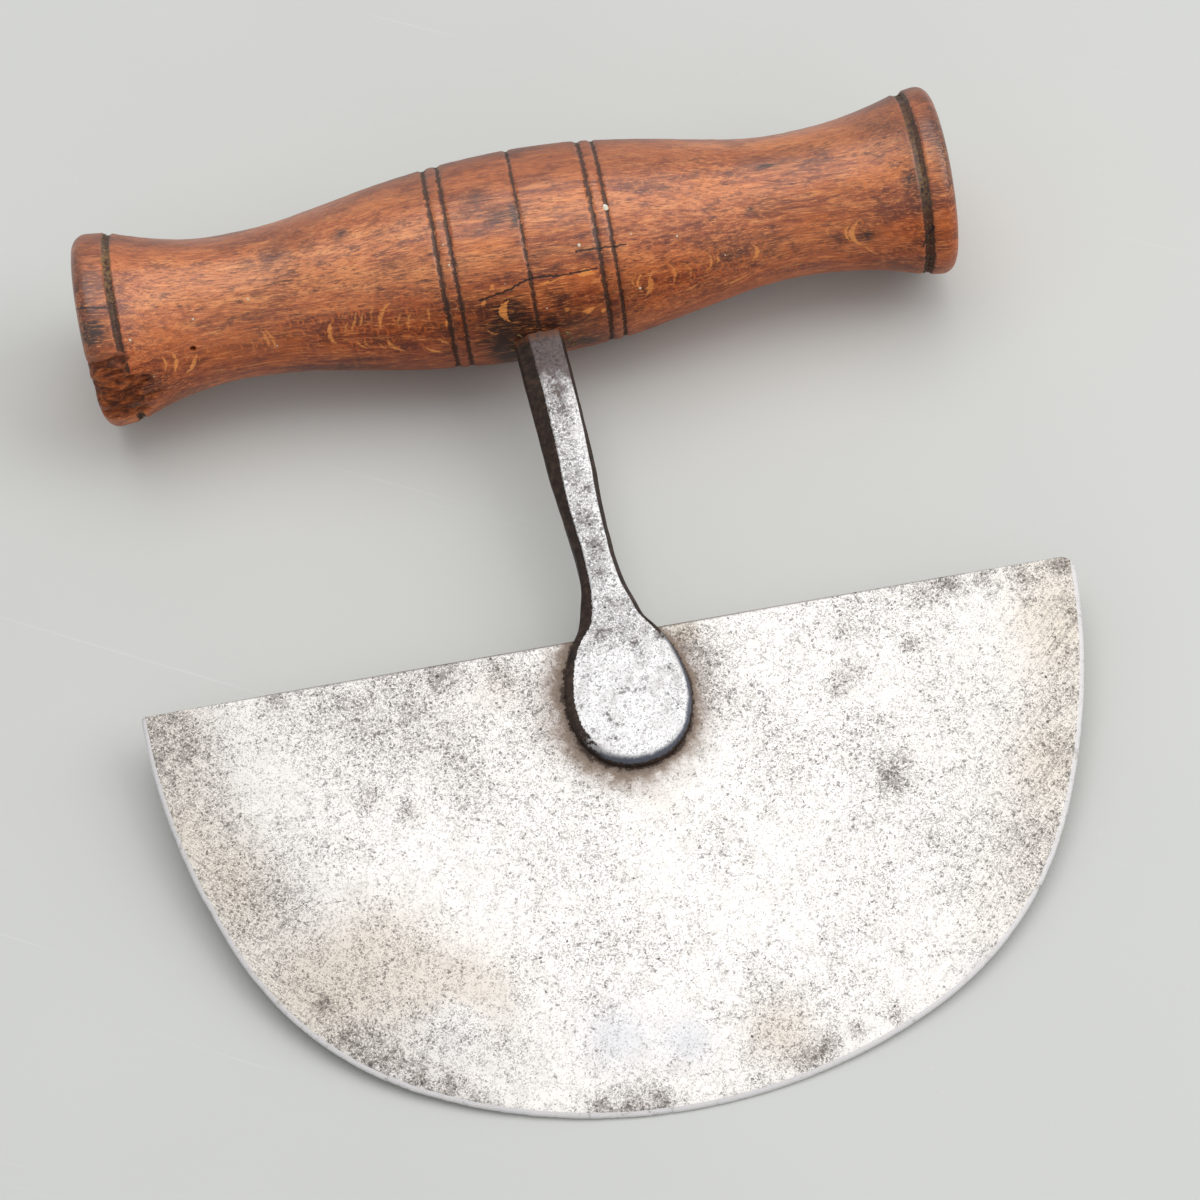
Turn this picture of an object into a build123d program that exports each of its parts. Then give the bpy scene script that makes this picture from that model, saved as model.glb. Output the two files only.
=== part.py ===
from build123d import *
from math import asin, atan2, cos, degrees, hypot, radians, sin
import os

# A single-handled mezzaluna: a half-moon blade gripped by a forged shank,
# whose tang runs up through a turned wooden handle. Millimetres and degrees.
# The pieces are made in the tool's own frame and laid down at the end.
# Tool frame: origin on the handle's axis at its middle groove, X along the
# handle, Y from the blade up to the handle, Z out of the front face.

# Blade: a flat plate, ground thinner towards the curved edge, then bevelled
BLADE_WIDTH = 165.0
BLADE_DEPTH = 85.0
BLADE_THICKNESS = 1.6
BLADE_SIDE_SHIFT = 2.6
SPINE_DROP = 77.6
BELLY_HALF_ANGLE = 26.3
SHOULDER_ANGLE = 38.2
SIDE_ANGLE = 22.7
GRIND_WIDTH = 24.0
BEVEL_WIDTH = 1.0
BEVEL_THICKNESS = 0.9
EDGE_THICKNESS = 0.3
LEFT_CORNER_RADIUS = 1.0
RIGHT_CORNER_RADIUS = 3.0

# Shank: it leans a little, and crosses the handle's axis just left of the groove
SHANK_LEAN = 3.4
SHANK_SIDE_SHIFT = -1.2
SHOULDER_SEAT_DEPTH = 0.7
STEM_TOP_WIDTH = 9.0
STEM_TOP_DEPTH = 8.2
STEM_TOP_LEFT_CHAMFER = 2.7
STEM_TOP_RIGHT_CHAMFER = 0.8
STEM_BELLY_LENGTH = 22.0
STEM_BELLY_WIDTH = 8.7
STEM_BELLY_LEFT_CHAMFER = 2.5
STEM_BELLY_RIGHT_CHAMFER = 0.8
STEM_WAIST_RISE = 15.2
STEM_WAIST_WIDTH = 6.9
STEM_WAIST_LEFT_CHAMFER = 1.5
STEM_WAIST_RIGHT_CHAMFER = 0.9
NECK_RISE = 5.2
NECK_WIDTH = 8.8
NECK_LEFT_CHAMFER = 2.0
NECK_RIGHT_CHAMFER = 1.0
CHAMFER_DEPTH = 1.6

# Palms: egg-shaped, one each side of the blade, rounded over at the rim
PALM_ROOT_RISE = 1.2
PALM_ROOT_WIDTH = 11.6
PALM_ROOT_SPREAD = 28.0
PALM_SHOULDER_LENGTH = 13.8
PALM_WIDTH = 21.8
PALM_TIP_LENGTH = 12.6
PALM_DEPTH = 6.4
PALM_LEFT_ROUNDING = 1.8
PALM_RIGHT_ROUNDING = 1.2
PALM_TIP_ROUNDING = 1.6

# Tang, with the rove under its hammered end
TANG_ROOT_SIZE = 6.6
TANG_TIP_SIZE = 4.6
HEAD_RADIUS = 3.5
HEAD_HEIGHT = 0.6
ROVE_RADIUS = 4.5
ROVE_THICKNESS = 1.2
ROVE_BEVEL = 0.4
ROVE_SEAT_DEPTH = 0.8

# Palm rivets, ground flush with both palms
RIVET_RADIUS = 2.2
UPPER_RIVET_INSET = 7.0
RIVET_SPACING = 11.0

# Handle: barrel-shaped, necked on both sides, with a flared collar at each end
HANDLE_LEAN = 0.6
CREST_RADIUS = 19.1
LEFT_LENGTH = 80.7
LEFT_WAIST_REACH = 53.5
LEFT_WAIST_RADIUS = 13.25
LEFT_COLLAR_REACH = 74.1
LEFT_RIM_RADIUS = 17.3
RIGHT_LENGTH = 77.9
RIGHT_WAIST_REACH = 50.0
RIGHT_WAIST_RADIUS = 13.2
RIGHT_COLLAR_REACH = 72.4
RIGHT_RIM_RADIUS = 16.9
COLLAR_SWELL = 0.7
END_ROUNDING = 2.8
LEFT_GROOVE_WIDTH = 1.0
RIGHT_GROOVE_WIDTH = 1.5
COLLAR_GROOVE_DEPTH = 0.8
SCRIBE_WIDTH = 0.7
SCRIBE_DEPTH = 0.4
INNER_SCRIBE_REACH = 13.0
SCRIBE_PAIR_GAP = 2.6

# The blade's shoulders are rounder than its belly: their radius as a share of the belly's
SHOULDER_RADIUS_SHARE = 0.627
# Where the crest's arc ends and where the waist's begins, along from crest to waist
CREST_END_SHARE = 0.48
WAIST_START_SHARE = 0.76
# How far out from waist to collar the flare's arc ends and its straight run begins
FLARE_END_SHARE = 0.64
# The waist's and the flare's arcs are turned in short straight cuts: where along them they meet
WAIST_CUT_SHARES = [0, 0.5, 1]
FLARE_CUT_SHARES = [0.33, 0.67, 1]
# The handle's end corner, rounded in two flats: how far out, and how far down
END_CORNER_SHARES = [(0, 0), (0.707, 0.293), (1, 1)]
# The tang's hammered head: its flat top as a share of its radius
HEAD_FLAT_SHARE = 0.5
# The palm's shoulder: how far down from root to widest line, and how much of the swell is reached
PALM_SHOULDER_SHARES = [(0.20, 0.42), (0.50, 0.78)]
# The palm's tip: how much of its half width and of its length is reached halfway round
PALM_TIP_SHARE = 0.72
# How much of a chamfer is cut halfway up it: half on the flat stem, less on the rounded palm
STEM_MID_SHARE = 0.50
NECK_MID_SHARE = 0.42
PALM_MID_SHARE = 0.30

STEM_TOP_DROP = CREST_RADIUS - SHOULDER_SEAT_DEPTH
PALM_ROOT_DROP = SPINE_DROP - PALM_ROOT_RISE
PALM_WIDEST_DROP = PALM_ROOT_DROP + PALM_SHOULDER_LENGTH
ROVE_SEAT_HEIGHT = CREST_RADIUS - ROVE_SEAT_DEPTH
ROVE_TOP_HEIGHT = ROVE_SEAT_HEIGHT + ROVE_THICKNESS


def blade_arcs():
    """Centre, radius and end angle of the three arcs from the belly's middle to the corner."""
    belly = radians(BELLY_HALF_ANGLE)
    shoulder = belly + radians(SHOULDER_ANGLE)
    side = shoulder + radians(SIDE_ANGLE)
    # how far the two rounder arcs run out and up for each unit of the belly's radius
    out = sin(belly) + SHOULDER_RADIUS_SHARE * (sin(shoulder) - sin(belly))
    up = 1 - cos(belly) + SHOULDER_RADIUS_SHARE * (cos(belly) - cos(shoulder))
    side_out = sin(side) - sin(shoulder)
    side_up = cos(shoulder) - cos(side)
    # the belly's and the side's radii that together reach the blade's width and depth
    whole = out * side_up - up * side_out
    belly_radius = (BLADE_WIDTH / 2 * side_up - BLADE_DEPTH * side_out) / whole
    side_radius = (BLADE_DEPTH * out - BLADE_WIDTH / 2 * up) / whole
    arcs = []
    centre = Vector(0, belly_radius - BLADE_DEPTH)
    radius = belly_radius
    angle = 0.0
    for next_radius, end in (
        (belly_radius, belly),
        (belly_radius * SHOULDER_RADIUS_SHARE, shoulder),
        (side_radius, side),
    ):
        centre = centre + Vector(sin(angle), -cos(angle)) * (radius - next_radius)
        arcs.append((centre, next_radius, end))
        radius = next_radius
        angle = end
    return arcs


def blade_level(inset, height):
    """The blade's outline drawn in by an inset, carried on past the spine, at one height."""
    def on_arc(centre, radius, angle):
        return centre + Vector(sin(angle), -cos(angle)) * (radius - inset) + Vector(0, 0, height)

    right = []
    start = 0.0
    for centre, radius, end in blade_arcs():
        points = [on_arc(centre, radius, angle) for angle in (start, (start + end) / 2, end)]
        right.append(Edge.make_three_point_arc(*points))
        start = end
    corner = points[-1]
    beyond = corner + Vector(cos(end), sin(end)) * (BLADE_DEPTH / 2)
    right.append(Edge.make_line(corner, beyond))
    left = [edge.mirror(Plane.YZ) for edge in right]
    top = Edge.make_line(beyond, Vector(-beyond.X, beyond.Y, beyond.Z))
    return Wire(right + left + [top])


def make_blade():
    levels = [
        (GRIND_WIDTH, BLADE_THICKNESS / 2),
        (BEVEL_WIDTH, BEVEL_THICKNESS / 2),
        (0, EDGE_THICKNESS / 2),
    ]
    back = [blade_level(inset, -height) for inset, height in levels]
    front = [blade_level(inset, height) for inset, height in reversed(levels)]
    plate = Solid.make_loft(back + front, ruled=True)
    # the straight spine and its two corners
    window = Rectangle(BLADE_WIDTH, BLADE_DEPTH * 2, align=(Align.CENTER, Align.MAX))
    window = fillet(window.vertices().sort_by_distance((-BLADE_WIDTH / 2, 0))[0], LEFT_CORNER_RADIUS)
    window = fillet(window.vertices().sort_by_distance((BLADE_WIDTH / 2, 0))[0], RIGHT_CORNER_RADIUS)
    plate = plate & extrude(window, BLADE_THICKNESS, both=True)
    return Pos(BLADE_SIDE_SHIFT, -SPINE_DROP) * plate


def blade_slot():
    """The room that the blade takes up between the palms."""
    room = Box(BLADE_WIDTH, BLADE_DEPTH, BLADE_THICKNESS, align=(Align.CENTER, Align.MAX, Align.CENTER))
    return Pos(BLADE_SIDE_SHIFT, -SPINE_DROP) * room


def stem_stations():
    """Drop, half width, left and right chamfer and the chamfer's middle share, top to palm root."""
    return [
        (STEM_TOP_DROP, STEM_TOP_WIDTH / 2,
         STEM_TOP_LEFT_CHAMFER, STEM_TOP_RIGHT_CHAMFER, STEM_MID_SHARE),
        (STEM_TOP_DROP + STEM_BELLY_LENGTH, STEM_BELLY_WIDTH / 2,
         STEM_BELLY_LEFT_CHAMFER, STEM_BELLY_RIGHT_CHAMFER, STEM_MID_SHARE),
        (PALM_ROOT_DROP - STEM_WAIST_RISE, STEM_WAIST_WIDTH / 2,
         STEM_WAIST_LEFT_CHAMFER, STEM_WAIST_RIGHT_CHAMFER, STEM_MID_SHARE),
        (PALM_ROOT_DROP - NECK_RISE, NECK_WIDTH / 2,
         NECK_LEFT_CHAMFER, NECK_RIGHT_CHAMFER, NECK_MID_SHARE),
        (PALM_ROOT_DROP, PALM_ROOT_WIDTH / 2,
         PALM_LEFT_ROUNDING, PALM_RIGHT_ROUNDING, PALM_MID_SHARE),
    ]


def palm_stations():
    """The same, from the palm's root down to its widest line."""
    swell = (PALM_WIDTH - PALM_ROOT_WIDTH) / 2
    shares = [(0, 0)] + PALM_SHOULDER_SHARES + [(1, 1)]
    return [
        (PALM_ROOT_DROP + down * PALM_SHOULDER_LENGTH, PALM_ROOT_WIDTH / 2 + out * swell,
         PALM_LEFT_ROUNDING, PALM_RIGHT_ROUNDING, PALM_MID_SHARE)
        for down, out in shares
    ]


def side_points(stations, side, step, height):
    """One side of the outline: step 0 is the full width, 1 halfway up the chamfer, 2 its top."""
    points = []
    for drop, half_width, left_chamfer, right_chamfer, mid_share in stations:
        chamfer = left_chamfer if side < 0 else right_chamfer
        cut = (0, mid_share, 1)[step] * chamfer
        points.append(Vector(side * (half_width - cut), -drop, height(drop)))
    return points


def side_edge(points, start, end):
    """A smooth edge through the points, leaving and arriving in the given directions."""
    return Edge.make_spline(points, tangents=[start, end])


def root_direction(side, fall):
    """Which way the outline runs at the palm's root: downwards and spreading out."""
    spread = radians(PALM_ROOT_SPREAD)
    return Vector(side * sin(spread), -cos(spread), fall * cos(spread))


def stem_level(step, face_side):
    """One level of the stem, between its top and the palm's root, on a slightly sloping plane."""
    slope = (STEM_TOP_DEPTH - PALM_DEPTH) / 2 / (PALM_ROOT_DROP - STEM_TOP_DROP)
    below_face = CHAMFER_DEPTH * (2 - step) / 2

    def height(drop):
        return face_side * (PALM_DEPTH / 2 + slope * (PALM_ROOT_DROP - drop) - below_face)

    down = Vector(0, -1, -slope * face_side)
    right = side_points(stem_stations(), 1, step, height)
    left = side_points(stem_stations(), -1, step, height)
    return Wire([
        Edge.make_line(left[0], right[0]),
        side_edge(right, down, root_direction(1, -slope * face_side)),
        Edge.make_line(right[-1], left[-1]),
        side_edge(left, down, root_direction(-1, -slope * face_side)),
    ])


def palm_level(step, face_side):
    """One level of the palms, from the root round the egg-shaped tip."""
    level = face_side * (PALM_DEPTH / 2 - CHAMFER_DEPTH * (2 - step) / 2)
    down = Vector(0, -1)
    tip_cut = (0, PALM_MID_SHARE, 1)[step] * PALM_TIP_ROUNDING
    tip = Vector(0, -PALM_WIDEST_DROP - PALM_TIP_LENGTH + tip_cut, level)
    edges = []
    roots = []
    for side in (1, -1):
        points = side_points(palm_stations(), side, step, lambda drop: level)
        widest = points[-1]
        turn = Vector(widest.X * PALM_TIP_SHARE, widest.Y + (tip.Y - widest.Y) * PALM_TIP_SHARE, level)
        edges.append(side_edge(points, root_direction(side, 0), down))
        edges.append(side_edge([widest, turn, tip], down, Vector(-side, 0)))
        roots.append(points[0])
    return Wire(edges + [Edge.make_line(*roots)])


def shank_body():
    """Stem and palms as one forging, before it is slotted and drilled."""
    steps = [(2, -1), (1, -1), (0, -1), (0, 1), (1, 1), (2, 1)]
    stem = Solid.make_loft([stem_level(step, face_side) for step, face_side in steps], ruled=True)
    palm = Solid.make_loft([palm_level(step, face_side) for step, face_side in steps], ruled=True)
    return stem + palm


def tang():
    """The square tapered tang, from the stem's top to the top of the rove."""
    root = Pos(0, -STEM_TOP_DROP, 0) * Rot(X=-90) * Rectangle(TANG_ROOT_SIZE, TANG_ROOT_SIZE)
    tip = Pos(0, ROVE_TOP_HEIGHT, 0) * Rot(X=-90) * Rectangle(TANG_TIP_SIZE, TANG_TIP_SIZE)
    return loft([root.face(), tip.face()], ruled=True)


def tang_head():
    """The tang's end, hammered out over the rove: flat on top, falling to a thin rim."""
    top_radius = HEAD_RADIUS * HEAD_FLAT_SHARE
    head = Cone(HEAD_RADIUS, top_radius, HEAD_HEIGHT, align=(Align.CENTER, Align.CENTER, Align.MIN))
    return Pos(0, ROVE_TOP_HEIGHT) * Rot(X=-90) * head


def lean(shape):
    """Moves a shape from the shank's own frame into the tool frame."""
    return Pos(SHANK_SIDE_SHIFT, 0) * Rot(Z=SHANK_LEAN) * shape


def rivet_pins(body):
    """The two pins, each as long as the palms are deep at that place."""
    pins = []
    for inset in (UPPER_RIVET_INSET, UPPER_RIVET_INSET + RIVET_SPACING):
        pin = Pos(0, -SPINE_DROP - inset) * Cylinder(RIVET_RADIUS, PALM_DEPTH)
        pins.append(pin & body)
    return pins


def rove_blank():
    blank = Cylinder(ROVE_RADIUS, ROVE_THICKNESS, align=(Align.CENTER, Align.CENTER, Align.MIN))
    blank = chamfer(blank.edges().sort_by(Axis.Z)[-1], ROVE_BEVEL)
    return Pos(0, ROVE_SEAT_HEIGHT) * Rot(X=-90) * blank


def rove_seat():
    """The flat-bottomed hole that the rove is let into."""
    hole = Cylinder(ROVE_RADIUS, CREST_RADIUS, align=(Align.CENTER, Align.CENTER, Align.MIN))
    return Pos(0, ROVE_SEAT_HEIGHT) * Rot(X=-90) * hole


def half_slope(rise, reach, straight_share):
    """How steeply an arc and the straight run that carries it on meet, as half the slope's tangent."""
    slope = atan2(2 * rise, reach * (1 + straight_share))
    return sin(slope) / (1 + cos(slope))


def straight_cuts(points):
    """Straight edges from point to point."""
    return [Edge.make_line(start, end) for start, end in zip(points, points[1:])]


def handle_side(side, waist_reach, waist_radius, collar_reach, rim_radius):
    """The turned outline from crest to collar on one side, the places of its two scribed
    grooves, and where the collar begins."""
    # from crest to waist: an arc, a straight run and an arc
    fall = half_slope(CREST_RADIUS - waist_radius, waist_reach, WAIST_START_SHARE - CREST_END_SHARE)
    crest = Vector(0, CREST_RADIUS)
    crest_length = CREST_END_SHARE * waist_reach
    crest_end = Vector(side * crest_length, CREST_RADIUS - crest_length * fall)
    waist_length = (1 - WAIST_START_SHARE) * waist_reach
    waist = Vector(side * waist_reach, waist_radius)
    waist_start = waist + Vector(-side * waist_length, waist_length * fall)
    # from waist to collar: an arc and a straight run
    flare = collar_reach - waist_reach
    flare_length = FLARE_END_SHARE * flare
    climb = half_slope(rim_radius - waist_radius, flare, 1 - FLARE_END_SHARE)
    flare_end = waist + Vector(side * flare_length, flare_length * climb)
    collar = Vector(side * collar_reach, rim_radius)
    # the crest's arc is cut straight between its grooves, which hide where the cuts meet
    crest_arc = Edge.make_tangent_arc(crest, Vector(side, 0), crest_end)
    waist_arc = Edge.make_tangent_arc(waist, Vector(-side, 0), waist_start)
    flare_arc = Edge.make_tangent_arc(waist, Vector(side, 0), flare_end)
    scribes = [
        Vector(side * reach, crest_height(crest_arc, reach))
        for reach in (INNER_SCRIBE_REACH, INNER_SCRIBE_REACH + SCRIBE_PAIR_GAP)
    ]
    waist_points = [waist_arc @ share for share in reversed(WAIST_CUT_SHARES)]
    flare_points = [flare_arc @ share for share in FLARE_CUT_SHARES]
    edges = straight_cuts([crest] + scribes + [crest_end] + waist_points + flare_points + [collar])
    return edges, scribes, collar


def crest_height(crest_arc, reach):
    """How far from the handle's axis its surface is, near the crest."""
    return CREST_RADIUS - crest_arc.radius + (crest_arc.radius ** 2 - reach ** 2) ** 0.5


def collar_edges(side, collar, length):
    """The collar, still flaring a little, its rounded end corner, and the flat end face."""
    corner = Vector(side * length, collar.Y + COLLAR_SWELL)
    along = (corner - collar).normalized()
    before = corner - along * END_ROUNDING
    points = [collar]
    for out, down in END_CORNER_SHARES:
        points.append(before + along * (END_ROUNDING * out) - Vector(0, END_ROUNDING * down))
    points.append(Vector(side * length, 0))
    return straight_cuts(points)


def groove(place, width, depth):
    """A V cut with the point of a chisel, seen from the front: its tip and its two flanks."""
    return Pos(place) * make_face(Polyline((-width, depth), (0, -depth), (width, depth), close=True))


def turned_body():
    """The handle before it is bored: the turned outline, its grooves cut, spun about its axis."""
    left, left_scribes, left_collar = handle_side(
        -1, LEFT_WAIST_REACH, LEFT_WAIST_RADIUS, LEFT_COLLAR_REACH, LEFT_RIM_RADIUS)
    right, right_scribes, right_collar = handle_side(
        1, RIGHT_WAIST_REACH, RIGHT_WAIST_RADIUS, RIGHT_COLLAR_REACH, RIGHT_RIM_RADIUS)
    outline = Wire(
        left + right
        + collar_edges(-1, left_collar, LEFT_LENGTH)
        + collar_edges(1, right_collar, RIGHT_LENGTH)
        + [Edge.make_line(Vector(RIGHT_LENGTH, 0), Vector(-LEFT_LENGTH, 0))])
    profile = Sketch() + Face(outline)
    profile = profile - groove(left_collar, LEFT_GROOVE_WIDTH, COLLAR_GROOVE_DEPTH)
    profile = profile - groove(right_collar, RIGHT_GROOVE_WIDTH, COLLAR_GROOVE_DEPTH)
    for place in [Vector(0, CREST_RADIUS)] + left_scribes + right_scribes:
        profile = profile - groove(place, SCRIBE_WIDTH, SCRIBE_DEPTH)
    return Rot(Z=HANDLE_LEAN) * revolve(profile, Axis.X)


# Shank, and the pins that fill its holes
body = shank_body()
pins = rivet_pins(body)
shank = lean(body + tang() + tang_head()) - blade_slot()
for pin in pins:
    shank = shank - lean(pin)
palm_rivets = [lean(pin) for pin in pins]

# Blade, with the same two holes
blade = make_blade()
for pin in palm_rivets:
    blade = blade - pin

# Rove and handle, each with room for the tang; the stem's top is let into the wood
rove = lean(rove_blank() - tang())
handle = turned_body() - lean(body + tang()) - lean(rove_seat())

# Lay the tool on its back: the barrel and the back of the bevel touch the ground
bevel_reach = SPINE_DROP + BLADE_DEPTH - BEVEL_WIDTH
bevel_height = BEVEL_THICKNESS / 2
lay_angle = degrees(asin(CREST_RADIUS / hypot(bevel_reach, bevel_height)) - atan2(bevel_height, bevel_reach))
pieces = {
    "blade": blade,
    "shank": shank,
    "palm_rivets": Compound([pin.solid() for pin in palm_rivets]),
    "handle": handle,
    "rove": rove,
}
laid = {name: Rot(X=lay_angle) * piece for name, piece in pieces.items()}
box = Compound([solid for piece in laid.values() for solid in piece.solids()]).bounding_box()
to_origin = Pos(-box.center().X, -box.center().Y, -box.min.Z)

os.makedirs("parts", exist_ok=True)
for name, piece in laid.items():
    export_step(to_origin * piece, "parts/" + name + ".step")
    print(name, "volume", round(piece.volume), "mm3")
print("box", box.size, "moved by", to_origin.position)
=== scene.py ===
# %% [markdown]
# # A mezzaluna: a half-moon blade, a forged shank and a turned wooden handle
# This lesson dresses the imported CAD model. Nothing is moved: every new piece is built where the
# CAD piece lies, in metres, and only adds what a drawing leaves out: wear, pits, grain and dirt,
# with some shade, sheen and reflection painted into the colours.

# %% Load the imported model
import bpy, bmesh, math
import numpy as np
from mathutils import Matrix, Vector


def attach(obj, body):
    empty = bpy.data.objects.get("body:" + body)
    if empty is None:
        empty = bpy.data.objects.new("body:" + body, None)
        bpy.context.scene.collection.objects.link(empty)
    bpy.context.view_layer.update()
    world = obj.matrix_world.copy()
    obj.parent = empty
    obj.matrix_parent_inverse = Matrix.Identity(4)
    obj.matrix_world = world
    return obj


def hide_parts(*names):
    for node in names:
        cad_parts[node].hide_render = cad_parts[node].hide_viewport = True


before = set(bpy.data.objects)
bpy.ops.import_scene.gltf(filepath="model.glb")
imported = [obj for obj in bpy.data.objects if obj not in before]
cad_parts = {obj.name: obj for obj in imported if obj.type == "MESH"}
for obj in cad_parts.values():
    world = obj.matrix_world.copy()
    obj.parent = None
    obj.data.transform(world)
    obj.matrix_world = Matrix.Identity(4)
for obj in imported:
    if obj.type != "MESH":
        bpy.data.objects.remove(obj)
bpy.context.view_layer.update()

# %% [markdown]
# The tool lies on its back on the floor: the handle rests on its crest and the blade on its edge.
# It is easier to think in the tool's own frame, in millimetres: X along the handle, Y from the blade
# up to the handle, Z out of the front face. One turn about X and one shift lay that frame down.
# The handle is mounted a touch crooked, so its own axis is turned a little more.

# %% The tool's own frame
LAY_ANGLE = math.radians(6.628)
LAY_SHIFT = np.array((-2.06068, 70.6866, 19.1))
HANDLE_LEAN = math.radians(0.6)
SHANK_LEAN = math.radians(3.4)
SHANK_SIDE_SHIFT = -1.2


def turn_about_x(angle):
    c, s = math.cos(angle), math.sin(angle)
    return np.array(((1, 0, 0), (0, c, -s), (0, s, c)))


def turn_about_z(angle):
    c, s = math.cos(angle), math.sin(angle)
    return np.array(((c, -s, 0), (s, c, 0), (0, 0, 1)))


def laid(points):
    """Points in the tool's own millimetres, moved to where the tool lies, in metres."""
    return (np.asarray(points) @ turn_about_x(LAY_ANGLE).T + LAY_SHIFT) / 1000


def lifted(points):
    """The way back: from metres on the floor to the tool's own millimetres."""
    return (np.asarray(points) * 1000 - LAY_SHIFT) @ turn_about_x(LAY_ANGLE)


print("the handle's axis lies", laid((0, 0, 0))[2], "m above the floor")

# %% [markdown]
# The photograph was taken from in front and a little below the handle, with a long lens. The numbers
# come from matching the handle's rings and the blade's outline with the photograph.
# The camera's matrix is written straight from its three directions, so nothing has to be aimed.

# %% The camera at the photograph's angle
def linked(name, data):
    """A new object in the scene."""
    thing = bpy.data.objects.new(name, data)
    bpy.context.scene.collection.objects.link(thing)
    return thing


FRAME_PIXELS = 1200
LENS_PIXELS = 3187.49
CAMERA_PLACE = np.array((-9.928, -273.105, 497.271)) / 1000
CAMERA_RIGHT = np.array((0.98491, -0.15882, -0.06877))
CAMERA_UP = np.array((0.17210, 0.85687, 0.48596))
CAMERA_BACK = np.cross(CAMERA_RIGHT, CAMERA_UP)

lens = bpy.data.cameras.new("photo_camera")
lens.sensor_width = 36.0
lens.lens = lens.sensor_width * LENS_PIXELS / FRAME_PIXELS
lens.clip_start = 0.01
camera = linked("photo_camera", lens)
axes = Matrix((CAMERA_RIGHT, CAMERA_UP, CAMERA_BACK)).transposed().to_4x4()
camera.matrix_world = Matrix.Translation(Vector(CAMERA_PLACE)) @ axes
bpy.context.scene.camera = camera
print("lens", round(lens.lens, 2), "mm")

# %% [markdown]
# Marks on the real tool are known by where they show in the photograph. A line of sight through that
# pixel is followed until it meets the piece, so each mark sits on the surface that carries it.

# %% Lines of sight
def sight(x, y):
    """The line of sight through one pixel: where it starts and where it goes, in tool millimetres."""
    half = FRAME_PIXELS / 2
    way = CAMERA_RIGHT * (x - half) / LENS_PIXELS - CAMERA_UP * (y - half) / LENS_PIXELS - CAMERA_BACK
    return lifted(CAMERA_PLACE), way @ turn_about_x(LAY_ANGLE)


def on_plate(x, y, height=0.8):
    """Where a pixel meets a plane that lies parallel to the blade, at a height over its middle."""
    start, way = sight(x, y)
    spot = start + way * (height - start[2]) / way[2]
    return spot[0], spot[1]


def soft_spots(flat, spots, height=0.8):
    """The sum of soft round spots at flat tool-frame points. A spot: pixel, reach, strength."""
    total = np.zeros(len(flat))
    for x, y, reach, strength in spots:
        middle = on_plate(x, y, height)
        across = np.hypot(flat[:, 0] - middle[0], flat[:, 1] - middle[1])
        total += strength * np.exp(-(across / reach) ** 2)
    return total


print("the middle of the picture meets the blade at", on_plate(600, 600))

# %% [markdown]
# ## Light
# The blade is nearly white in the photograph because it mirrors a large soft light overhead, a bit
# behind the handle. A second soft light from the right fills the handle's shadow on that side, and a
# soft grey world does the rest, as a white studio tent does. Window-shaped lights are easier to place
# by the shadows than a picture of a sky would be.

# %% The studio
def soft_light(name, place, size, power, tint):
    """A round soft light that faces the middle of the floor."""
    data = bpy.data.lights.new(name, "AREA")
    data.shape, data.size, data.energy, data.color = "DISK", size, power, tint
    lamp = linked(name, data)
    lamp.location = place
    lamp.rotation_euler = (-Vector(place)).to_track_quat("-Z", "Y").to_euler()


soft_light("overhead_softbox", (0.10, 0.36, 1.20), 1.35, 7.7, (1.0, 0.992, 0.984))
soft_light("right_window", (1.00, -0.10, 0.85), 1.1, 6.0, (0.98, 0.99, 1.0))

world = bpy.data.worlds.new("studio_tent")
world.use_nodes = True
tent = world.node_tree.nodes["Background"]
tent.inputs["Color"].default_value = (0.93, 0.96, 1.0, 1.0)
tent.inputs["Strength"].default_value = 0.54
bpy.context.scene.world = world
bpy.context.scene.view_settings.view_transform = "Standard"

# %% [markdown]
# ## A small kit for materials
# A material is a chain of small steps: make a pattern, bend it, choose colours with it. These helpers
# put one step down each, so the finishes below read like recipes. Every recipe starts from the same
# place: object coordinates, turned and scaled so that one unit is one millimetre of the tool. The
# colour is laid down in thin coats, as a restorer would: each coat has a share, which says how much
# of it shows at a point, and a colour.

def tone(red, green, blue):
    """A colour as it is seen on a screen, turned into the linear numbers that a shader wants."""
    def linear(value):
        value = value / 255
        return value / 12.92 if value <= 0.04045 else ((value + 0.055) / 1.055) ** 2.4
    return (linear(red), linear(green), linear(blue), 1.0)


def feed(tree, socket, value):
    """Links an output, or a node's first output, to a socket, or sets the socket to a plain value."""
    if isinstance(value, bpy.types.Node):
        value = value.outputs[0]
    if isinstance(value, bpy.types.NodeSocket):
        tree.links.new(value, socket)
    else:
        socket.default_value = value


def put_node(tree, kind, settings=None, **sockets):
    """Adds a node and fills its sockets, by number (i0, i1 ...) or by name."""
    node = tree.nodes.new(kind)
    for key, value in (settings or {}).items():
        setattr(node, key, value)
    for key, value in sockets.items():
        feed(tree, node.inputs[int(key[1:]) if key[1:].isdigit() else key.replace("_", " ")], value)
    return node


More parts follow.
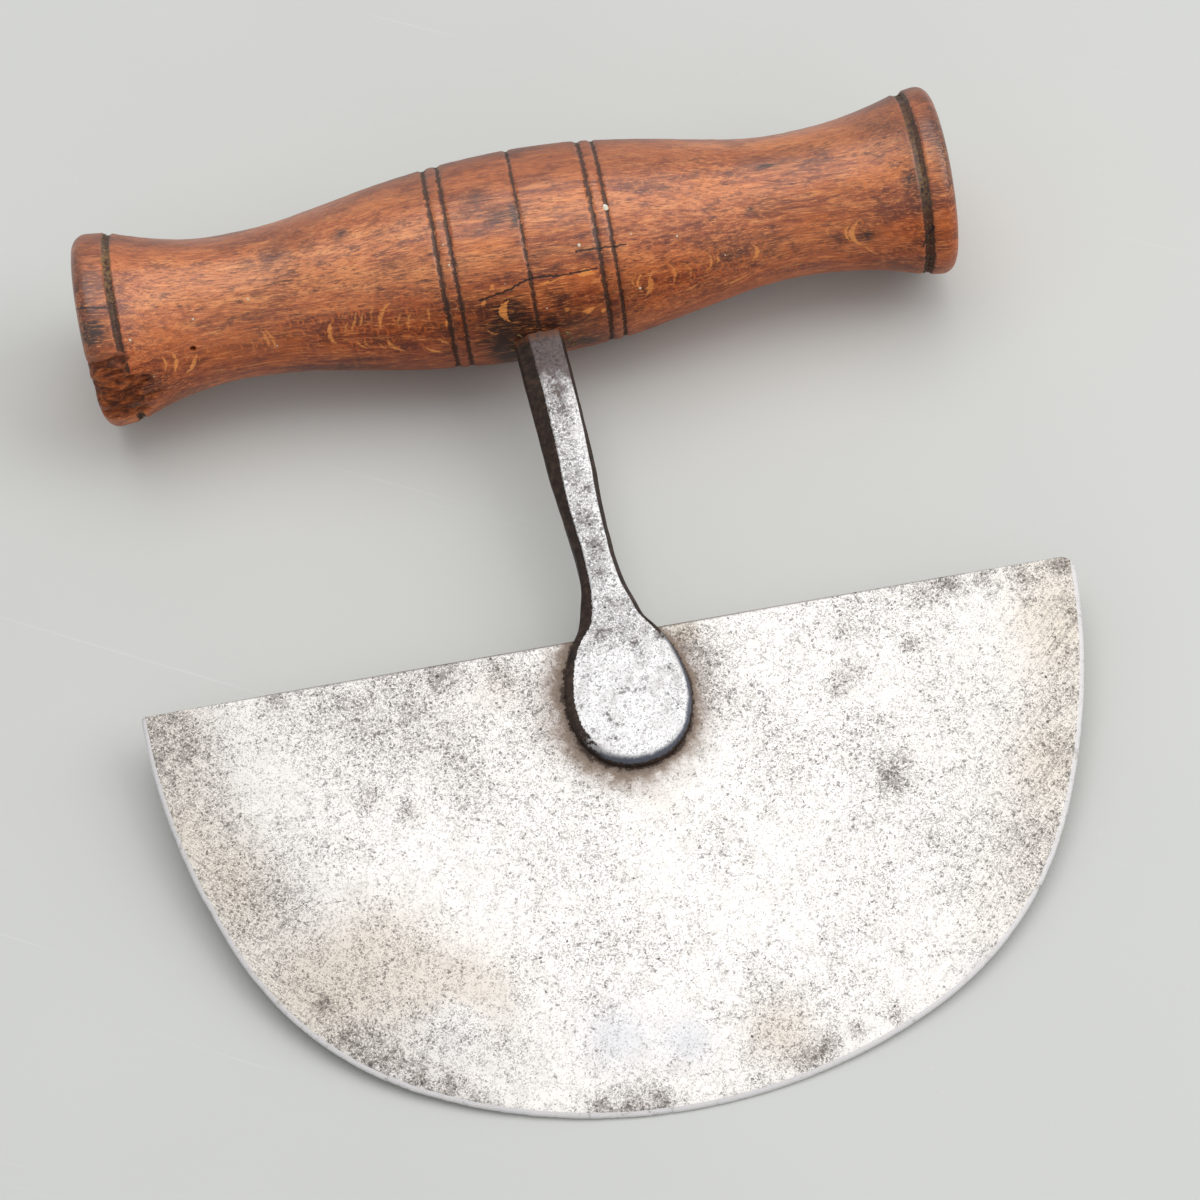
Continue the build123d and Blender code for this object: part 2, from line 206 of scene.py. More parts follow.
class Finish:
    """One node material, with its pattern space in the tool's millimetres and its colour so far."""

    def __init__(self, name, lean=0.0):
        self.material = bpy.data.materials.new(name)
        self.material.use_nodes = True
        self.tree = self.material.node_tree
        self.shader = self.tree.nodes["Principled BSDF"]
        self.colour = None
        coordinates = self.tree.nodes.new("ShaderNodeTexCoord")
        turn = turn_about_z(-lean) @ turn_about_x(-LAY_ANGLE)
        mapping = self.tree.nodes.new("ShaderNodeMapping")
        mapping.inputs["Scale"].default_value = (1000, 1000, 1000)
        mapping.inputs["Rotation"].default_value = (-LAY_ANGLE, 0, -lean)
        mapping.inputs["Location"].default_value = tuple(turn @ -LAY_SHIFT)
        self.tree.links.new(coordinates.outputs["Object"], mapping.inputs["Vector"])
        self.place = mapping.outputs["Vector"]

    def put(self, kind, out=0, settings=None, **sockets):
        return put_node(self.tree, "ShaderNode" + kind, settings, **sockets).outputs[out]

    def sum_of(self, operation, a, b=0.0, c=0.0, clamp=False):
        return self.put("Math", settings={"operation": operation, "use_clamp": clamp}, i0=a, i1=b, i2=c)

    def times(self, a, b, clamp=False):
        return self.sum_of("MULTIPLY", a, b, clamp=clamp)

    def times_plus(self, a, b, c):
        return self.sum_of("MULTIPLY_ADD", a, b, c)

    def plus(self, a, b, clamp=False):
        return self.sum_of("ADD", a, b, clamp=clamp)

    def minus(self, a, b):
        return self.sum_of("SUBTRACT", a, b)

    def larger(self, a, b, clamp=False):
        return self.sum_of("MAXIMUM", a, b, clamp=clamp)

    def vector(self, operation, *inputs, out=0, **sockets):
        numbered = {"i" + str(k): value for k, value in enumerate(inputs)}
        return self.put("VectorMath", out, {"operation": operation}, **numbered, **sockets)

    def stretched(self, scale, turn=(0, 0, 0), shift=(0, 0, 0), base=None):
        """The pattern space squeezed and turned: a small number draws the pattern out long."""
        turned = self.put("Mapping", Vector=base or self.place, Rotation=turn)
        return self.put("Mapping", Vector=turned, Scale=scale, Location=shift)

    def noise(self, space, scale=1.0, detail=4.0, roughness=0.55, bend=0.0):
        return self.put("TexNoise", Vector=space, Scale=scale, Detail=detail, Roughness=roughness,
                        Distortion=bend)

    def grain(self, along, across, detail, roughness=0.55, turn=(0, 0, 0), shift=(0, 0, 0), bend=0.0):
        """Noise drawn out along the tool's X axis, as wood grain is; with two equal numbers, even noise."""
        space = self.stretched((along, across, across), turn, shift)
        return self.noise(space, detail=detail, roughness=roughness, bend=bend)

    def wavered(self, space, reach, **noise):
        """A pattern space pushed about by noise, so that lines drawn in it waver."""
        push = self.put("TexNoise", out=1, Vector=self.place, **noise)
        return self.vector("MULTIPLY_ADD", push, reach, space)

    def between(self, value, low, high, to_low=0.0, to_high=1.0):
        """Spreads the values from low to high over a new range, and stops there, softly."""
        return self.put("MapRange", settings={"interpolation_type": "SMOOTHSTEP"}, i0=value, i1=low, i2=high,
                        i3=to_low, i4=to_high)

    def ramp(self, value, *stops):
        """Colours along a value. A stop: position, red, green, blue."""
        output = self.put("ValToRGB", Fac=value)
        band = output.node.color_ramp
        while len(band.elements) < len(stops):
            band.elements.new(0.5)
        for element, (position, *colour) in zip(band.elements, stops):
            element.position = position
            element.color = tone(*colour)
        return output

    def coat(self, share, colour, how="MIX"):
        """Lays one more colour over the colour so far, as thick as the share says."""
        mix = self.tree.nodes.new("ShaderNodeMix")
        mix.data_type, mix.blend_type = "RGBA", how
        feed(self.tree, mix.inputs[0], share)
        feed(self.tree, mix.inputs[6], self.colour)
        feed(self.tree, mix.inputs[7], tone(*colour) if isinstance(colour, tuple) else colour)
        self.colour = mix.outputs[2]

    def attribute(self, name):
        return self.put("Attribute", out=2, settings={"attribute_name": name})

    def relief(self, height, depth):
        """Raises or sinks the surface by a pattern: depth is in metres for a height of one."""
        return self.put("Bump", Height=height, Distance=depth, Strength=1.0)

    def wear(self, **sockets):
        """Puts the colour on the shader, and sets or feeds its other sockets."""
        feed(self.tree, self.shader.inputs["Base Color"], self.colour)
        for key, value in sockets.items():
            feed(self.tree, self.shader.inputs[key.replace("_", " ")], value)


print("the kit is ready")

# %% [markdown]
# ## The floor
# A plain pale grey board. Its few faint scratches and specks keep it from looking like paper.

# %% Floor finish and floor
board = Finish("pale_board")
board.colour = board.ramp(board.grain(0.006, 0.006, 3), (0.3, 204, 204, 199), (0.7, 209, 209, 204))
specks = board.put("TexVoronoi", Vector=board.stretched((0.12, 0.12, 0.12)), Scale=1.0)
board.coat(board.between(specks, 0.03, 0.07, 0.5, 0.0), (211, 208, 202))
hairs = board.noise(board.stretched((0.012, 1.1, 0.1), (0, 0, 0.5)), detail=2)
board.coat(board.between(hairs, 0.70, 0.78, 0.0, 0.16), (238, 238, 237))
board.wear(Roughness=0.75)


def flat_sheet(name, half_side, material):
    mesh = bpy.data.meshes.new(name)
    corners = [(x * half_side, y * half_side, 0) for x, y in ((-1, -1), (1, -1), (1, 1), (-1, 1))]
    mesh.from_pydata(corners, [], [(0, 1, 2, 3)])
    mesh.materials.append(material)
    return linked(name, mesh)


floor = flat_sheet("floor", 2.5, board.material)
print("floor", [round(side, 2) for side in floor.dimensions])

# %% [markdown]
# ## Meshes from rows of points
# Every piece here is a sheet of points in rows, so one helper turns rows into faces. Values that
# belong to the points, such as how far they are from an edge, go along as attributes for the finish.

# %% Rows of points to a piece
def chatter(seed, count, size, low, high):
    """Smooth random unevenness: a sum of waves with lengths between low and high, in millimetres."""
    rng = np.random.default_rng(seed)
    ways = rng.normal(size=(count, 3))
    ways /= np.linalg.norm(ways, axis=1)[:, None]
    rates = 2 * np.pi / np.exp(rng.uniform(math.log(low), math.log(high), count))
    turns = rng.uniform(0, 2 * np.pi, count)

    def at(points):
        return size * np.sin((points @ ways.T) * rates + turns).sum(axis=-1) / math.sqrt(count / 2)
    return at


def rows_to_faces(rows, columns, first=0, around=False):
    """Quads between neighbouring points of a sheet, joined round the end where it is a loop."""
    last = columns if around else columns - 1
    row, column = np.meshgrid(np.arange(rows - 1), np.arange(last), indexing="ij")
    beside = (column + 1) % columns
    quads = np.stack((row * columns + column, row * columns + beside,
                      (row + 1) * columns + beside, (row + 1) * columns + column), axis=-1)
    return quads.reshape(-1, 4) + first


def make_piece(name, points, faces, material, values=None):
    """A named piece from tool-frame points, merged, closed and turned the right way out."""
    mesh = bpy.data.meshes.new(name)
    mesh.from_pydata(laid(points).tolist(), [], [list(map(int, face)) for face in faces])
    for key, numbers in (values or {}).items():
        layer = mesh.attributes.new(key, "FLOAT", "POINT")
        layer.data.foreach_set("value", np.asarray(numbers, dtype=np.float32).ravel())
    work = bmesh.new()
    work.from_mesh(mesh)
    bmesh.ops.remove_doubles(work, verts=work.verts, dist=2e-6)
    bmesh.ops.recalc_face_normals(work, faces=work.faces)
    for face in work.faces:
        face.smooth = True
    work.to_mesh(mesh)
    open_edges = sum(1 for edge in work.edges if not edge.is_manifold)
    work.free()
    mesh.materials.append(material)
    print(name, len(mesh.polygons), "faces", open_edges, "open edges")
    return linked(name, mesh)


def eased(value, low, high):
    share = np.clip((np.asarray(value, dtype=float) - low) / (high - low), 0, 1)
    return share * share * (3 - 2 * share)

# %% [markdown]
# ## The handle's turned shape
# A turner leaves a smooth line: the crest and the waist are arcs with a straight run between them,
# then the wood flares out to a collar with a rounded end. One function gives the radius at any place
# along the handle; the grooves are small V cuts taken away from it.

# %% The handle's outline
CREST_RADIUS = 19.1
SIDES = {-1: dict(waist=53.5, waist_radius=13.25, collar=74.1, rim=17.3, length=80.7),
         1: dict(waist=50.0, waist_radius=13.2, collar=72.4, rim=16.9, length=77.9)}
CREST_END_SHARE, WAIST_START_SHARE = 0.48, 0.76
COLLAR_SWELL, END_ROUNDING = 0.7, 2.8
GROOVES = [(-74.1, 0.9, 0.8), (-15.6, 0.8, 0.4), (-13.0, 0.75, 0.4), (0.0, 0.65, 0.35),
           (13.0, 0.8, 0.4), (15.6, 0.65, 0.4), (72.4, 1.15, 0.8)]


def outline_radius(place):
    """The turned radius at a place along the handle, before the grooves are cut."""
    place = np.asarray(place, dtype=float)
    radius = np.zeros_like(place)
    for side, size in SIDES.items():
        reach = np.abs(place)
        swell = CREST_RADIUS - size["waist_radius"]
        slope = math.atan2(2 * swell, size["waist"] * (1 + WAIST_START_SHARE - CREST_END_SHARE))
        half_slope = math.tan(slope / 2)
        crest_end = CREST_END_SHARE * size["waist"]
        waist_start = WAIST_START_SHARE * size["waist"]
        crest_arc = crest_end / math.sin(slope)
        waist_arc = (size["waist"] - waist_start) / math.sin(slope)
        flare = size["rim"] - size["waist_radius"]
        flare_reach = size["collar"] - size["waist"]
        flare_arc = (flare ** 2 + flare_reach ** 2) / (2 * flare)
        corner = size["length"] - END_ROUNDING
        swell_rate = COLLAR_SWELL / (size["length"] - size["collar"])
        crest = CREST_RADIUS - crest_arc + np.sqrt(np.maximum(crest_arc ** 2 - reach ** 2, 0))
        run = CREST_RADIUS - crest_end * half_slope - (reach - crest_end) * math.tan(slope)
        waist = size["waist_radius"] + waist_arc - np.sqrt(
            np.maximum(waist_arc ** 2 - (reach - size["waist"]) ** 2, 0))
        flared = size["waist_radius"] + flare_arc - np.sqrt(
            np.maximum(flare_arc ** 2 - (reach - size["waist"]) ** 2, 0))
        collar = size["rim"] + (reach - size["collar"]) * swell_rate
        drop = END_ROUNDING - np.sqrt(np.maximum(END_ROUNDING ** 2 - np.clip(reach - corner, 0, None) ** 2, 0))
        here = np.select([reach < crest_end, reach < waist_start, reach < size["waist"],
                          reach < size["collar"]], [crest, run, waist, flared], collar - drop)
        radius = np.where(np.sign(place + 1e-9) == side, here, radius)
    return radius


def groove_cut(place):
    """How deep the V grooves are at a place along the handle."""
    depth = np.zeros_like(np.asarray(place, dtype=float))
    for middle, half_width, full_depth in GROOVES:
        share = np.clip(1 - np.abs(place - middle) / half_width, 0, 1)
        depth = np.maximum(depth, full_depth * share ** 0.85)
    return depth


HANDLE_AWAY = (440, 640)  # the handle is between these distances from the camera


def on_handle(x, y):
    """Where a pixel meets the handle: how far along it, and at which angle round it."""
    start, way = sight(x, y)
    start, way = start @ turn_about_z(HANDLE_LEAN), way @ turn_about_z(HANDLE_LEAN)
    steps = np.linspace(*HANDLE_AWAY, 4000) / np.linalg.norm(way)
    spots = start + steps[:, None] * way
    inside = np.hypot(spots[:, 1], spots[:, 2]) <= outline_radius(np.clip(spots[:, 0], -80, 77))
    off_axis = np.hypot(spots[:, 1], spots[:, 2])
    spot = spots[np.argmax(inside) if inside.any() else np.argmin(off_axis)]
    return float(spot[0]), math.atan2(spot[1], spot[2])


print("radius at the crest, waist and left collar", outline_radius(np.array((0.0, 50.0, -74.0))).round(2))

# %% [markdown]
# ## The handle's wear
# The left collar has a worm-eaten corner, and there is one worm hole. Each is a soft dip pressed into
# the turned surface. Rows and columns crowd together where the detail is, because a groove half a
# millimetre wide is lost on an even grid.

# %% Handle shape
def crowded(low, high, count, spots):
    """Places from low to high, closer together around the spots: (middle, reach, how many times)."""
    line = np.linspace(low, high, 20001)
    weight = np.ones_like(line)
    for middle, reach, times in spots:
        weight += times * np.exp(-np.abs((line - middle) / reach) ** 4)
    total = np.concatenate(((0,), np.cumsum((weight[1:] + weight[:-1]) / 2)))
    return np.interp(np.linspace(0, total[-1], count), total, line)


ROUND = 17.0  # a middling radius, for unrolling the handle in millimetres
CHIP, HOLE = on_handle(118, 392), on_handle(193, 349)
CHIP_REACH, CHIP_TURN = 5.4, 0.50
HOLE_DEPTH, HOLE_RADIUS, HOLE_OFF_AXIS = 1.6, 0.42, 14.8
HANDLE_ENDS, END_CORNERS = (-80.68, 77.88), (-79.5, 76.8)
HANDLE_ROWS, HANDLE_COLUMNS = 400, 228
print("chip at", CHIP, "worm hole at", HOLE)

along_spots = [(middle, half * 1.1, 5) for middle, half, _ in GROOVES]
along_spots += [(CHIP[0], 9.0, 1.2), (HOLE[0], 0.9, 6)] + [(corner, 1.6, 3) for corner in END_CORNERS]
places = crowded(*HANDLE_ENDS, HANDLE_ROWS, along_spots)
angles = crowded(HOLE[1] - math.pi, HOLE[1] + math.pi, HANDLE_COLUMNS + 1,
                 [(HOLE[1], 0.05, 5), (CHIP[1], 0.55, 1.0)])[:-1]
grid_place, grid_angle = np.meshgrid(places, angles, indexing="ij")


def handle_point(place, angle, radius):
    spots = np.stack((place, radius * np.sin(angle), radius * np.cos(angle)), axis=-1)
    return spots @ turn_about_z(HANDLE_LEAN).T


def around(angle, middle):
    """The signed angle from a middle, kept within half a turn."""
    return (angle - middle + np.pi) % (2 * np.pi) - np.pi


def handle_radius(place, angle):
    """The worn radius: turned outline, less grooves, chatter, chip and the worm hole."""
    round_spot = np.stack((place, ROUND * np.sin(angle), ROUND * np.cos(angle)), axis=-1)
    radius = outline_radius(place)
    fill = 0.25 * eased(chatter(5, 9, 1.0, 3, 11)(round_spot), 0.2, 1.2)
    cut = groove_cut(place) * (1 - fill)
    radius = radius + chatter(11, 14, 0.05, 9, 60)(round_spot) + chatter(12, 20, 0.012, 1.5, 5)(round_spot)
    # the worm-eaten corner: a broad loss with a ragged floor, torn along the grain
    east = (place - CHIP[0]) / CHIP_REACH
    north = around(angle, CHIP[1]) / CHIP_TURN
    grain_spot = round_spot * np.array((0.45, 1, 1))
    ragged = chatter(21, 24, 0.20, 2.0, 9)(grain_spot)
    loss = eased(1.12 - np.sqrt(east ** 2 + north ** 2) + ragged, 0.0, 0.45)
    floor_of_loss = 1.0 + chatter(22, 30, 0.34, 0.9, 4)(grain_spot) + 0.7 * eased(-east, 0, 1.0)
    radius = radius - np.maximum(loss * np.clip(floor_of_loss, 0.15, 2.3), cut)
    across = np.hypot(place - HOLE[0], HOLE_OFF_AXIS * around(angle, HOLE[1]))
    radius = radius - HOLE_DEPTH * (1 - eased(across, HOLE_RADIUS, HOLE_RADIUS + 0.2))
    return radius, loss


radii, loss = handle_radius(grid_place, grid_angle)
shell = handle_point(grid_place, grid_angle, radii).reshape(-1, 3)
columns = len(angles)
points, faces = [shell], [rows_to_faces(len(places), columns, around=True)]
count = len(shell)
for row in (0, len(places) - 1):
    middle = handle_point(np.array(places[row]), np.array(0.0), np.array(0.0))
    rim = shell[row * columns:(row + 1) * columns]
    shares = np.linspace(1, 0.02, 7)
    disc = np.concatenate([middle + (rim - middle) * share for share in shares])
    points.append(disc)
    faces.append(rows_to_faces(len(shares), columns, count, around=True))
    faces.append(np.array([[count + (len(shares) - 1) * columns + k for k in range(columns)]]))
    count += len(disc)
handle_points = np.concatenate(points)
handle_faces = [face for group in faces for face in group.tolist()]
print("handle grid", grid_place.shape)

# %% [markdown]
# ## Marks on the handle
# Stains, pale patches and figured areas are soft oval spots, each placed where the photograph shows
# it. The same mark is kept on the back too, faintly, because a tool this old isn't clean anywhere.

# %% Spots on the handle
DARK_SPOTS = [  # pixel, reach along the handle, reach round it, strength
    (340, 234, 1.5, 1.2, 1.0), (276, 257, 2.6, 1.4, 0.5), (513, 350, 3.2, 6.5, 2.4), (582, 343, 4.5, 2.6, 1.0),
    (498, 330, 6, 6, 0.5), (455, 320, 7, 9, 0.30), (545, 325, 7, 3, 0.8), (590, 325, 7, 4, 0.45),
    (622, 300, 6, 7, 0.30), (90, 334, 3.0, 2.4, 1.2), (84, 300, 2.0, 5, 0.5), (74, 262, 1.4, 4, 0.8),
    (125, 408, 5, 3.5, 0.9), (150, 385, 2.5, 2.5, 0.7), (96, 380, 2.5, 4, 0.6), (880, 125, 5, 6, 0.6),
    (915, 170, 1.6, 8, 0.5), (935, 130, 1.6, 8, 0.7), (952, 170, 1.6, 8, 0.6), (767, 166, 2.2, 0.6, 1.2),
    (750, 210, 0.8, 0.7, 1.2), (696, 174, 0.8, 0.7, 0.9), (664, 188, 1.2, 0.6, 0.6), (827, 160, 1.2, 0.6, 0.7),
    (908, 179, 1.3, 1.0, 0.8), (514, 214, 0.8, 2.2, 1.2), (500, 219, 2.2, 1.0, 0.7), (476, 196, 1.6, 1.6, 0.7),
    (868, 235, 1.4, 1.4, 1.1), (925, 99, 1.0, 0.9, 1.1), (931, 108, 0.9, 0.9, 0.9), (430, 190, 6, 3, 0.35),
    (300, 225, 9, 2.5, 0.4), (180, 245, 9, 3, 0.45), (640, 160, 20, 3, 0.30), (800, 150, 12, 3, 0.35),
    (430, 370, 16, 3, 0.5), (330, 368, 10, 2.4, 0.5), (900, 265, 6, 4, 0.5), (560, 250, 9, 1.4, 0.3),
    (705, 290, 4, 3, 0.4), (735, 255, 3, 1.2, 0.4), (510, 305, 4, 3, 0.5), (565, 300, 3, 2, 0.5)]
PALE_SPOTS = [
    (294, 244, 1.6, 1.2, 1.1), (854, 141, 3.6, 1.4, 0.9), (586, 273, 3.4, 0.6, 1.8), (528, 173, 2.6, 0.7, 0.8),
    (508, 312, 0.9, 1.8, 1.4), (587, 309, 2.4, 0.8, 1.4), (604, 310, 2.2, 0.7, 1.4), (575, 303, 1.6, 0.5, 1.2),
    (225, 352, 10, 4, 0.7), (330, 350, 8, 3, 0.4), (700, 305, 12, 3.5, 0.6), (800, 275, 12, 3, 0.6),
    (110, 380, 4, 4, 0.6), (948, 228, 1.8, 2.2, 1.0), (900, 230, 3, 3, 0.4), (160, 330, 5, 4, 0.4),
    (120, 260, 2, 6, 0.4), (862, 170, 0.35, 8, 1.0), (876, 230, 3, 4, 0.4)]
FIGURED = [
    (180, 362, 6, 3.0, 1.0), (232, 350, 6, 2.6, 0.6), (275, 340, 6, 3.0, 1.0), (345, 326, 10, 4.6, 1.1),
    (395, 338, 8, 4.0, 1.0), (440, 320, 6, 4, 0.8), (700, 272, 14, 4.4, 0.9), (800, 262, 8, 3.6, 0.5),
    (860, 228, 4, 4.4, 1.0), (600, 306, 8, 4, 0.9), (500, 316, 5, 4, 0.8)]
CRUST = [(105, 262, 1.2, 7.5, 1.3), (903, 130, 1.6, 7, 0.8), (922, 180, 1.6, 6, 0.6)]


def oval_spots(spots, places, angles, backwards=0.0):
    """The sum of soft oval spots at places and angles on the handle."""
    total = np.zeros_like(places)
    for x, y, along, across, strength in spots:
        place, angle = on_handle(x, y)
        for turn, share in ((0, 1.0), (math.pi, backwards)):
            east = (places - place) / along
            north = ROUND * around(angles, angle + turn) / across
            total += share * strength * np.exp(-(east ** 2 + north ** 2))
    return total


def on_wood(x, y):
    """A pixel's place on the unrolled handle, in millimetres: along it and round it."""
    place, angle = on_handle(x, y)
    return place, ROUND * angle, 0.0


print("the long crack starts at", on_wood(480, 299))

# %% [markdown]
# ## The wood
# Red-brown stained beech. Beech shows short dark dashes along the grain, and pale crescents where the
# lathe cuts across its rays. Both lie on a round surface, so they are drawn on the handle unrolled:
# one direction runs along it, the other round it. The clearest marks are drawn one by one.

# %% Cracks and crescents
CRACKS = [((480, 300), (506, 291)), ((506, 291), (531, 278)), ((531, 278), (569, 274)),
          ((569, 274), (597, 268)), ((576, 252), (625, 245)), ((76, 309), (107, 308)),
          ((923, 246), (934, 226))]


def crescents(finish, unrolled, along, across, bow, width, present):
    """Pale arcs across the grain: one in each cell of a scattered pattern, some left out."""
    squeezed = finish.vector("MULTIPLY", unrolled, (1 / along, 1 / across, 0.0))
    cells = finish.put("TexVoronoi", settings={"voronoi_dimensions": "2D"}, Vector=squeezed, Scale=1.0,
                       Randomness=0.85)
    local = finish.vector("SUBTRACT", squeezed, cells.node.outputs["Position"])
    parts = finish.put("SeparateXYZ", Vector=local)
    chance = finish.put("SeparateColor", i0=cells.node.outputs["Color"])
    up = finish.times(parts.node.outputs[1], 2.4)
    square = finish.times(up, up)
    lean = finish.times_plus(up, 0.10, finish.times(square, bow))
    off = finish.sum_of("ABSOLUTE", finish.times_plus(parts, 1.0, lean))
    thick = finish.times_plus(square, -width, width)
    arc = finish.between(finish.minus(thick, off), 0.0, width * 0.6)
    return finish.times(arc, finish.between(chance, present, present + 0.2))


def cracks(finish, unrolled):
    """How near a point is to one of the cracks: 1 in the crack, 0 beside it."""
    bent = finish.wavered(unrolled, (1.0, 1.0, 0.0), Scale=0.9, Detail=4.0)
    nearest = None
    for ends in CRACKS:
        a, b = (np.array(on_wood(*pixel)) + (0.5, 0.5, 0) for pixel in ends)
        way = b - a
        from_start = finish.vector("SUBTRACT", bent, tuple(a))
        share = finish.vector("DOT_PRODUCT", from_start, tuple(way / (way @ way)), out=1)
        spot = finish.vector("SCALE", tuple(way), Scale=finish.times(share, 1.0, clamp=True))
        away = finish.vector("DISTANCE", from_start, spot, out=1)
        nearest = away if nearest is None else finish.sum_of("MINIMUM", nearest, away)
    return finish.between(nearest, 0.22, 0.07)


ARCS = [  # both ends as pixels, bow and thickness in millimetres, strength
    (161, 355, 164, 374, 0.6, 0.30, 0.7), (171, 351, 174, 373, 0.7, 0.50, 1.0),
    (196, 353, 186, 374, 0.5, 0.60, 1.0), (248, 336, 255, 351, 0.2, 0.30, 0.5),
    (262, 331, 269, 346, 0.2, 0.50, 0.8), (266, 330, 276, 350, 0.3, 0.40, 0.9),
    (332, 320, 338, 345, -1.0, 0.55, 1.0), (356, 310, 351, 331, 0.2, 0.40, 0.8),
    (362, 312, 359, 327, 0.2, 0.35, 0.8), (347, 321, 344, 333, 0.1, 0.30, 0.5),
    (356, 340, 370, 349, -0.4, 0.35, 0.8), (364, 339, 372, 347, -0.4, 0.35, 0.7),
    (374, 304, 371, 321, -0.2, 0.30, 0.5), (391, 301, 381, 330, -0.9, 0.50, 0.8),
    (387, 339, 406, 351, -0.7, 0.60, 1.0), (379, 342, 387, 349, -0.3, 0.35, 0.6),
    (402, 312, 400, 330, -0.5, 0.35, 0.5), (412, 310, 410, 332, -0.5, 0.35, 0.5),
    (509, 299, 510, 322, -1.2, 1.0, 1.1), (581, 312, 595, 307, 0.3, 0.70, 1.0),
    (600, 312, 607, 308, 0.2, 0.50, 0.9), (564, 307, 572, 309, -0.3, 0.50, 0.7),
    (577, 275, 595, 273, 0.3, 0.80, 1.2), (536, 285, 560, 278, 0.2, 0.28, 1.0),
    (425, 347, 444, 352, -0.3, 0.50, 1.0), (438, 338, 451, 343, -0.3, 0.40, 0.9),
    (446, 319, 450, 327, -0.2, 0.40, 0.9), (484, 299, 481, 306, 0.2, 0.50, 0.8),
    (493, 284, 489, 290, 0.2, 0.50, 0.7), (486, 329, 499, 334, -0.3, 0.30, 0.7),
    (429, 306, 430, 322, -0.2, 0.40, 0.6), (862, 217, 865, 247, -2.2, 0.75, 1.0),
    (851, 223, 852, 242, -1.1, 0.35, 0.9), (830, 226, 831, 238, -0.6, 0.30, 0.5),
    (865, 247, 882, 255, -0.3, 0.40, 0.9), (703, 251, 704, 274, 1.5, 0.35, 0.8),
    (716, 255, 715, 266, 0.5, 0.30, 0.8), (751, 243, 751, 262, 1.2, 0.50, 0.8),
    (644, 271, 643, 292, -1.0, 0.35, 0.8), (637, 274, 637, 288, -0.8, 0.30, 0.6),
    (648, 274, 645, 297, 0.8, 0.80, 0.7), (698, 284, 684, 291, 0.3, 0.35, 0.7),
    (749, 274, 722, 286, 0.3, 0.45, 0.7), (816, 259, 839, 257, 0.4, 0.40, 0.6),
    (665, 262, 672, 286, 1.2, 0.35, 0.6), (680, 262, 690, 280, 1.0, 0.30, 0.5)]


def placed_arcs(finish, unrolled):
    """The clearest crescents, one by one: each is a chord that bows to one side and thins to its ends."""
    strongest = None
    for x1, y1, x2, y2, bow, thick, strength in ARCS:
        start, end = np.array(on_wood(x1, y1)), np.array(on_wood(x2, y2))
        way = end - start
        across = np.array((-way[1], way[0], 0)) / math.hypot(way[0], way[1])
        if across[0] < 0:
            across = -across
        local = finish.vector("SUBTRACT", unrolled, tuple(start))
        share = finish.vector("DOT_PRODUCT", local, tuple(way / (way @ way)), out=1)
        off = finish.vector("DOT_PRODUCT", local, tuple(across), out=1)
        hump = finish.times(finish.times_plus(share, -4.0, 4.0), share)
        off = finish.sum_of("ABSOLUTE", finish.times_plus(hump, -bow, off))
        inside = finish.times_plus(hump, thick * 0.75, finish.times(off, -1.0))
        mark = finish.times(finish.between(inside, -0.10, 0.14), strength)
        strongest = mark if strongest is None else finish.larger(strongest, mark)
    return finish.times(strongest, 1.0, clamp=True)


print(len(CRACKS), "cracks", len(ARCS), "crescents")

# %% [markdown]
# The patterns of the grain come first, because several coats and the relief share them. The coats go
# on from the broad to the fine: streaks, clouds of stain, mottling, then the dashes.

# %% Wood grain
SLOPE = (0, 0, 0.05)  # the grain runs a little askew to the handle
wood = Finish("turned_beech", HANDLE_LEAN)
split = wood.put("SeparateXYZ", Vector=wood.place)
wood_along, wood_up, wood_out = (split.node.outputs[k] for k in range(3))
turned = wood.times(wood.sum_of("ARCTAN2", wood_up, wood_out), ROUND)
unrolled = wood.put("CombineXYZ", X=wood_along, Y=turned)
layers = wood.grain(0.014, 0.13, 6, 0.62, SLOPE)
streaks = wood.grain(0.075, 0.90, 8, 0.72, SLOPE, bend=0.6)
clouds = wood.grain(0.07, 0.13, 5, 0.65, shift=(5, 2, 9))
mottled = wood.grain(0.22, 0.55, 6, 0.74, shift=(8, 1, 4))
dashes = wood.grain(0.42, 3.8, 4, 0.72, SLOPE)
longer = wood.grain(0.10, 1.5, 4, 0.65, SLOPE, (3, 7, 1))
wood.colour = wood.ramp(streaks, (0.36, 98, 37, 16), (0.47, 176, 90, 42), (0.55, 212, 126, 68),
                        (0.68, 242, 166, 104))
wood.coat(0.42, wood.ramp(layers, (0.38, 108, 42, 18), (0.50, 192, 102, 50), (0.62, 232, 150, 88)))
wood.coat(wood.between(clouds, 0.50, 0.62, 0.0, 0.62), (96, 36, 14))
wood.coat(wood.between(clouds, 0.46, 0.34, 0.0, 0.40), (220, 122, 40))
wood.coat(wood.between(mottled, 0.52, 0.64, 0.0, 0.66), (84, 32, 17))
dark = wood.times(wood.between(dashes, 0.54, 0.62), wood.between(layers, 0.35, 0.6, 0.45, 1.0))
wood.coat(wood.times(dark, 0.66), (74, 28, 16))
wood.coat(wood.between(dashes, 0.47, 0.34, 0.0, 0.66), (240, 154, 88))
deeper = wood.between(longer, 0.62, 0.70)
wood.coat(wood.times(deeper, 0.65), (58, 24, 16))
print("nodes in the grain", len(wood.tree.nodes))
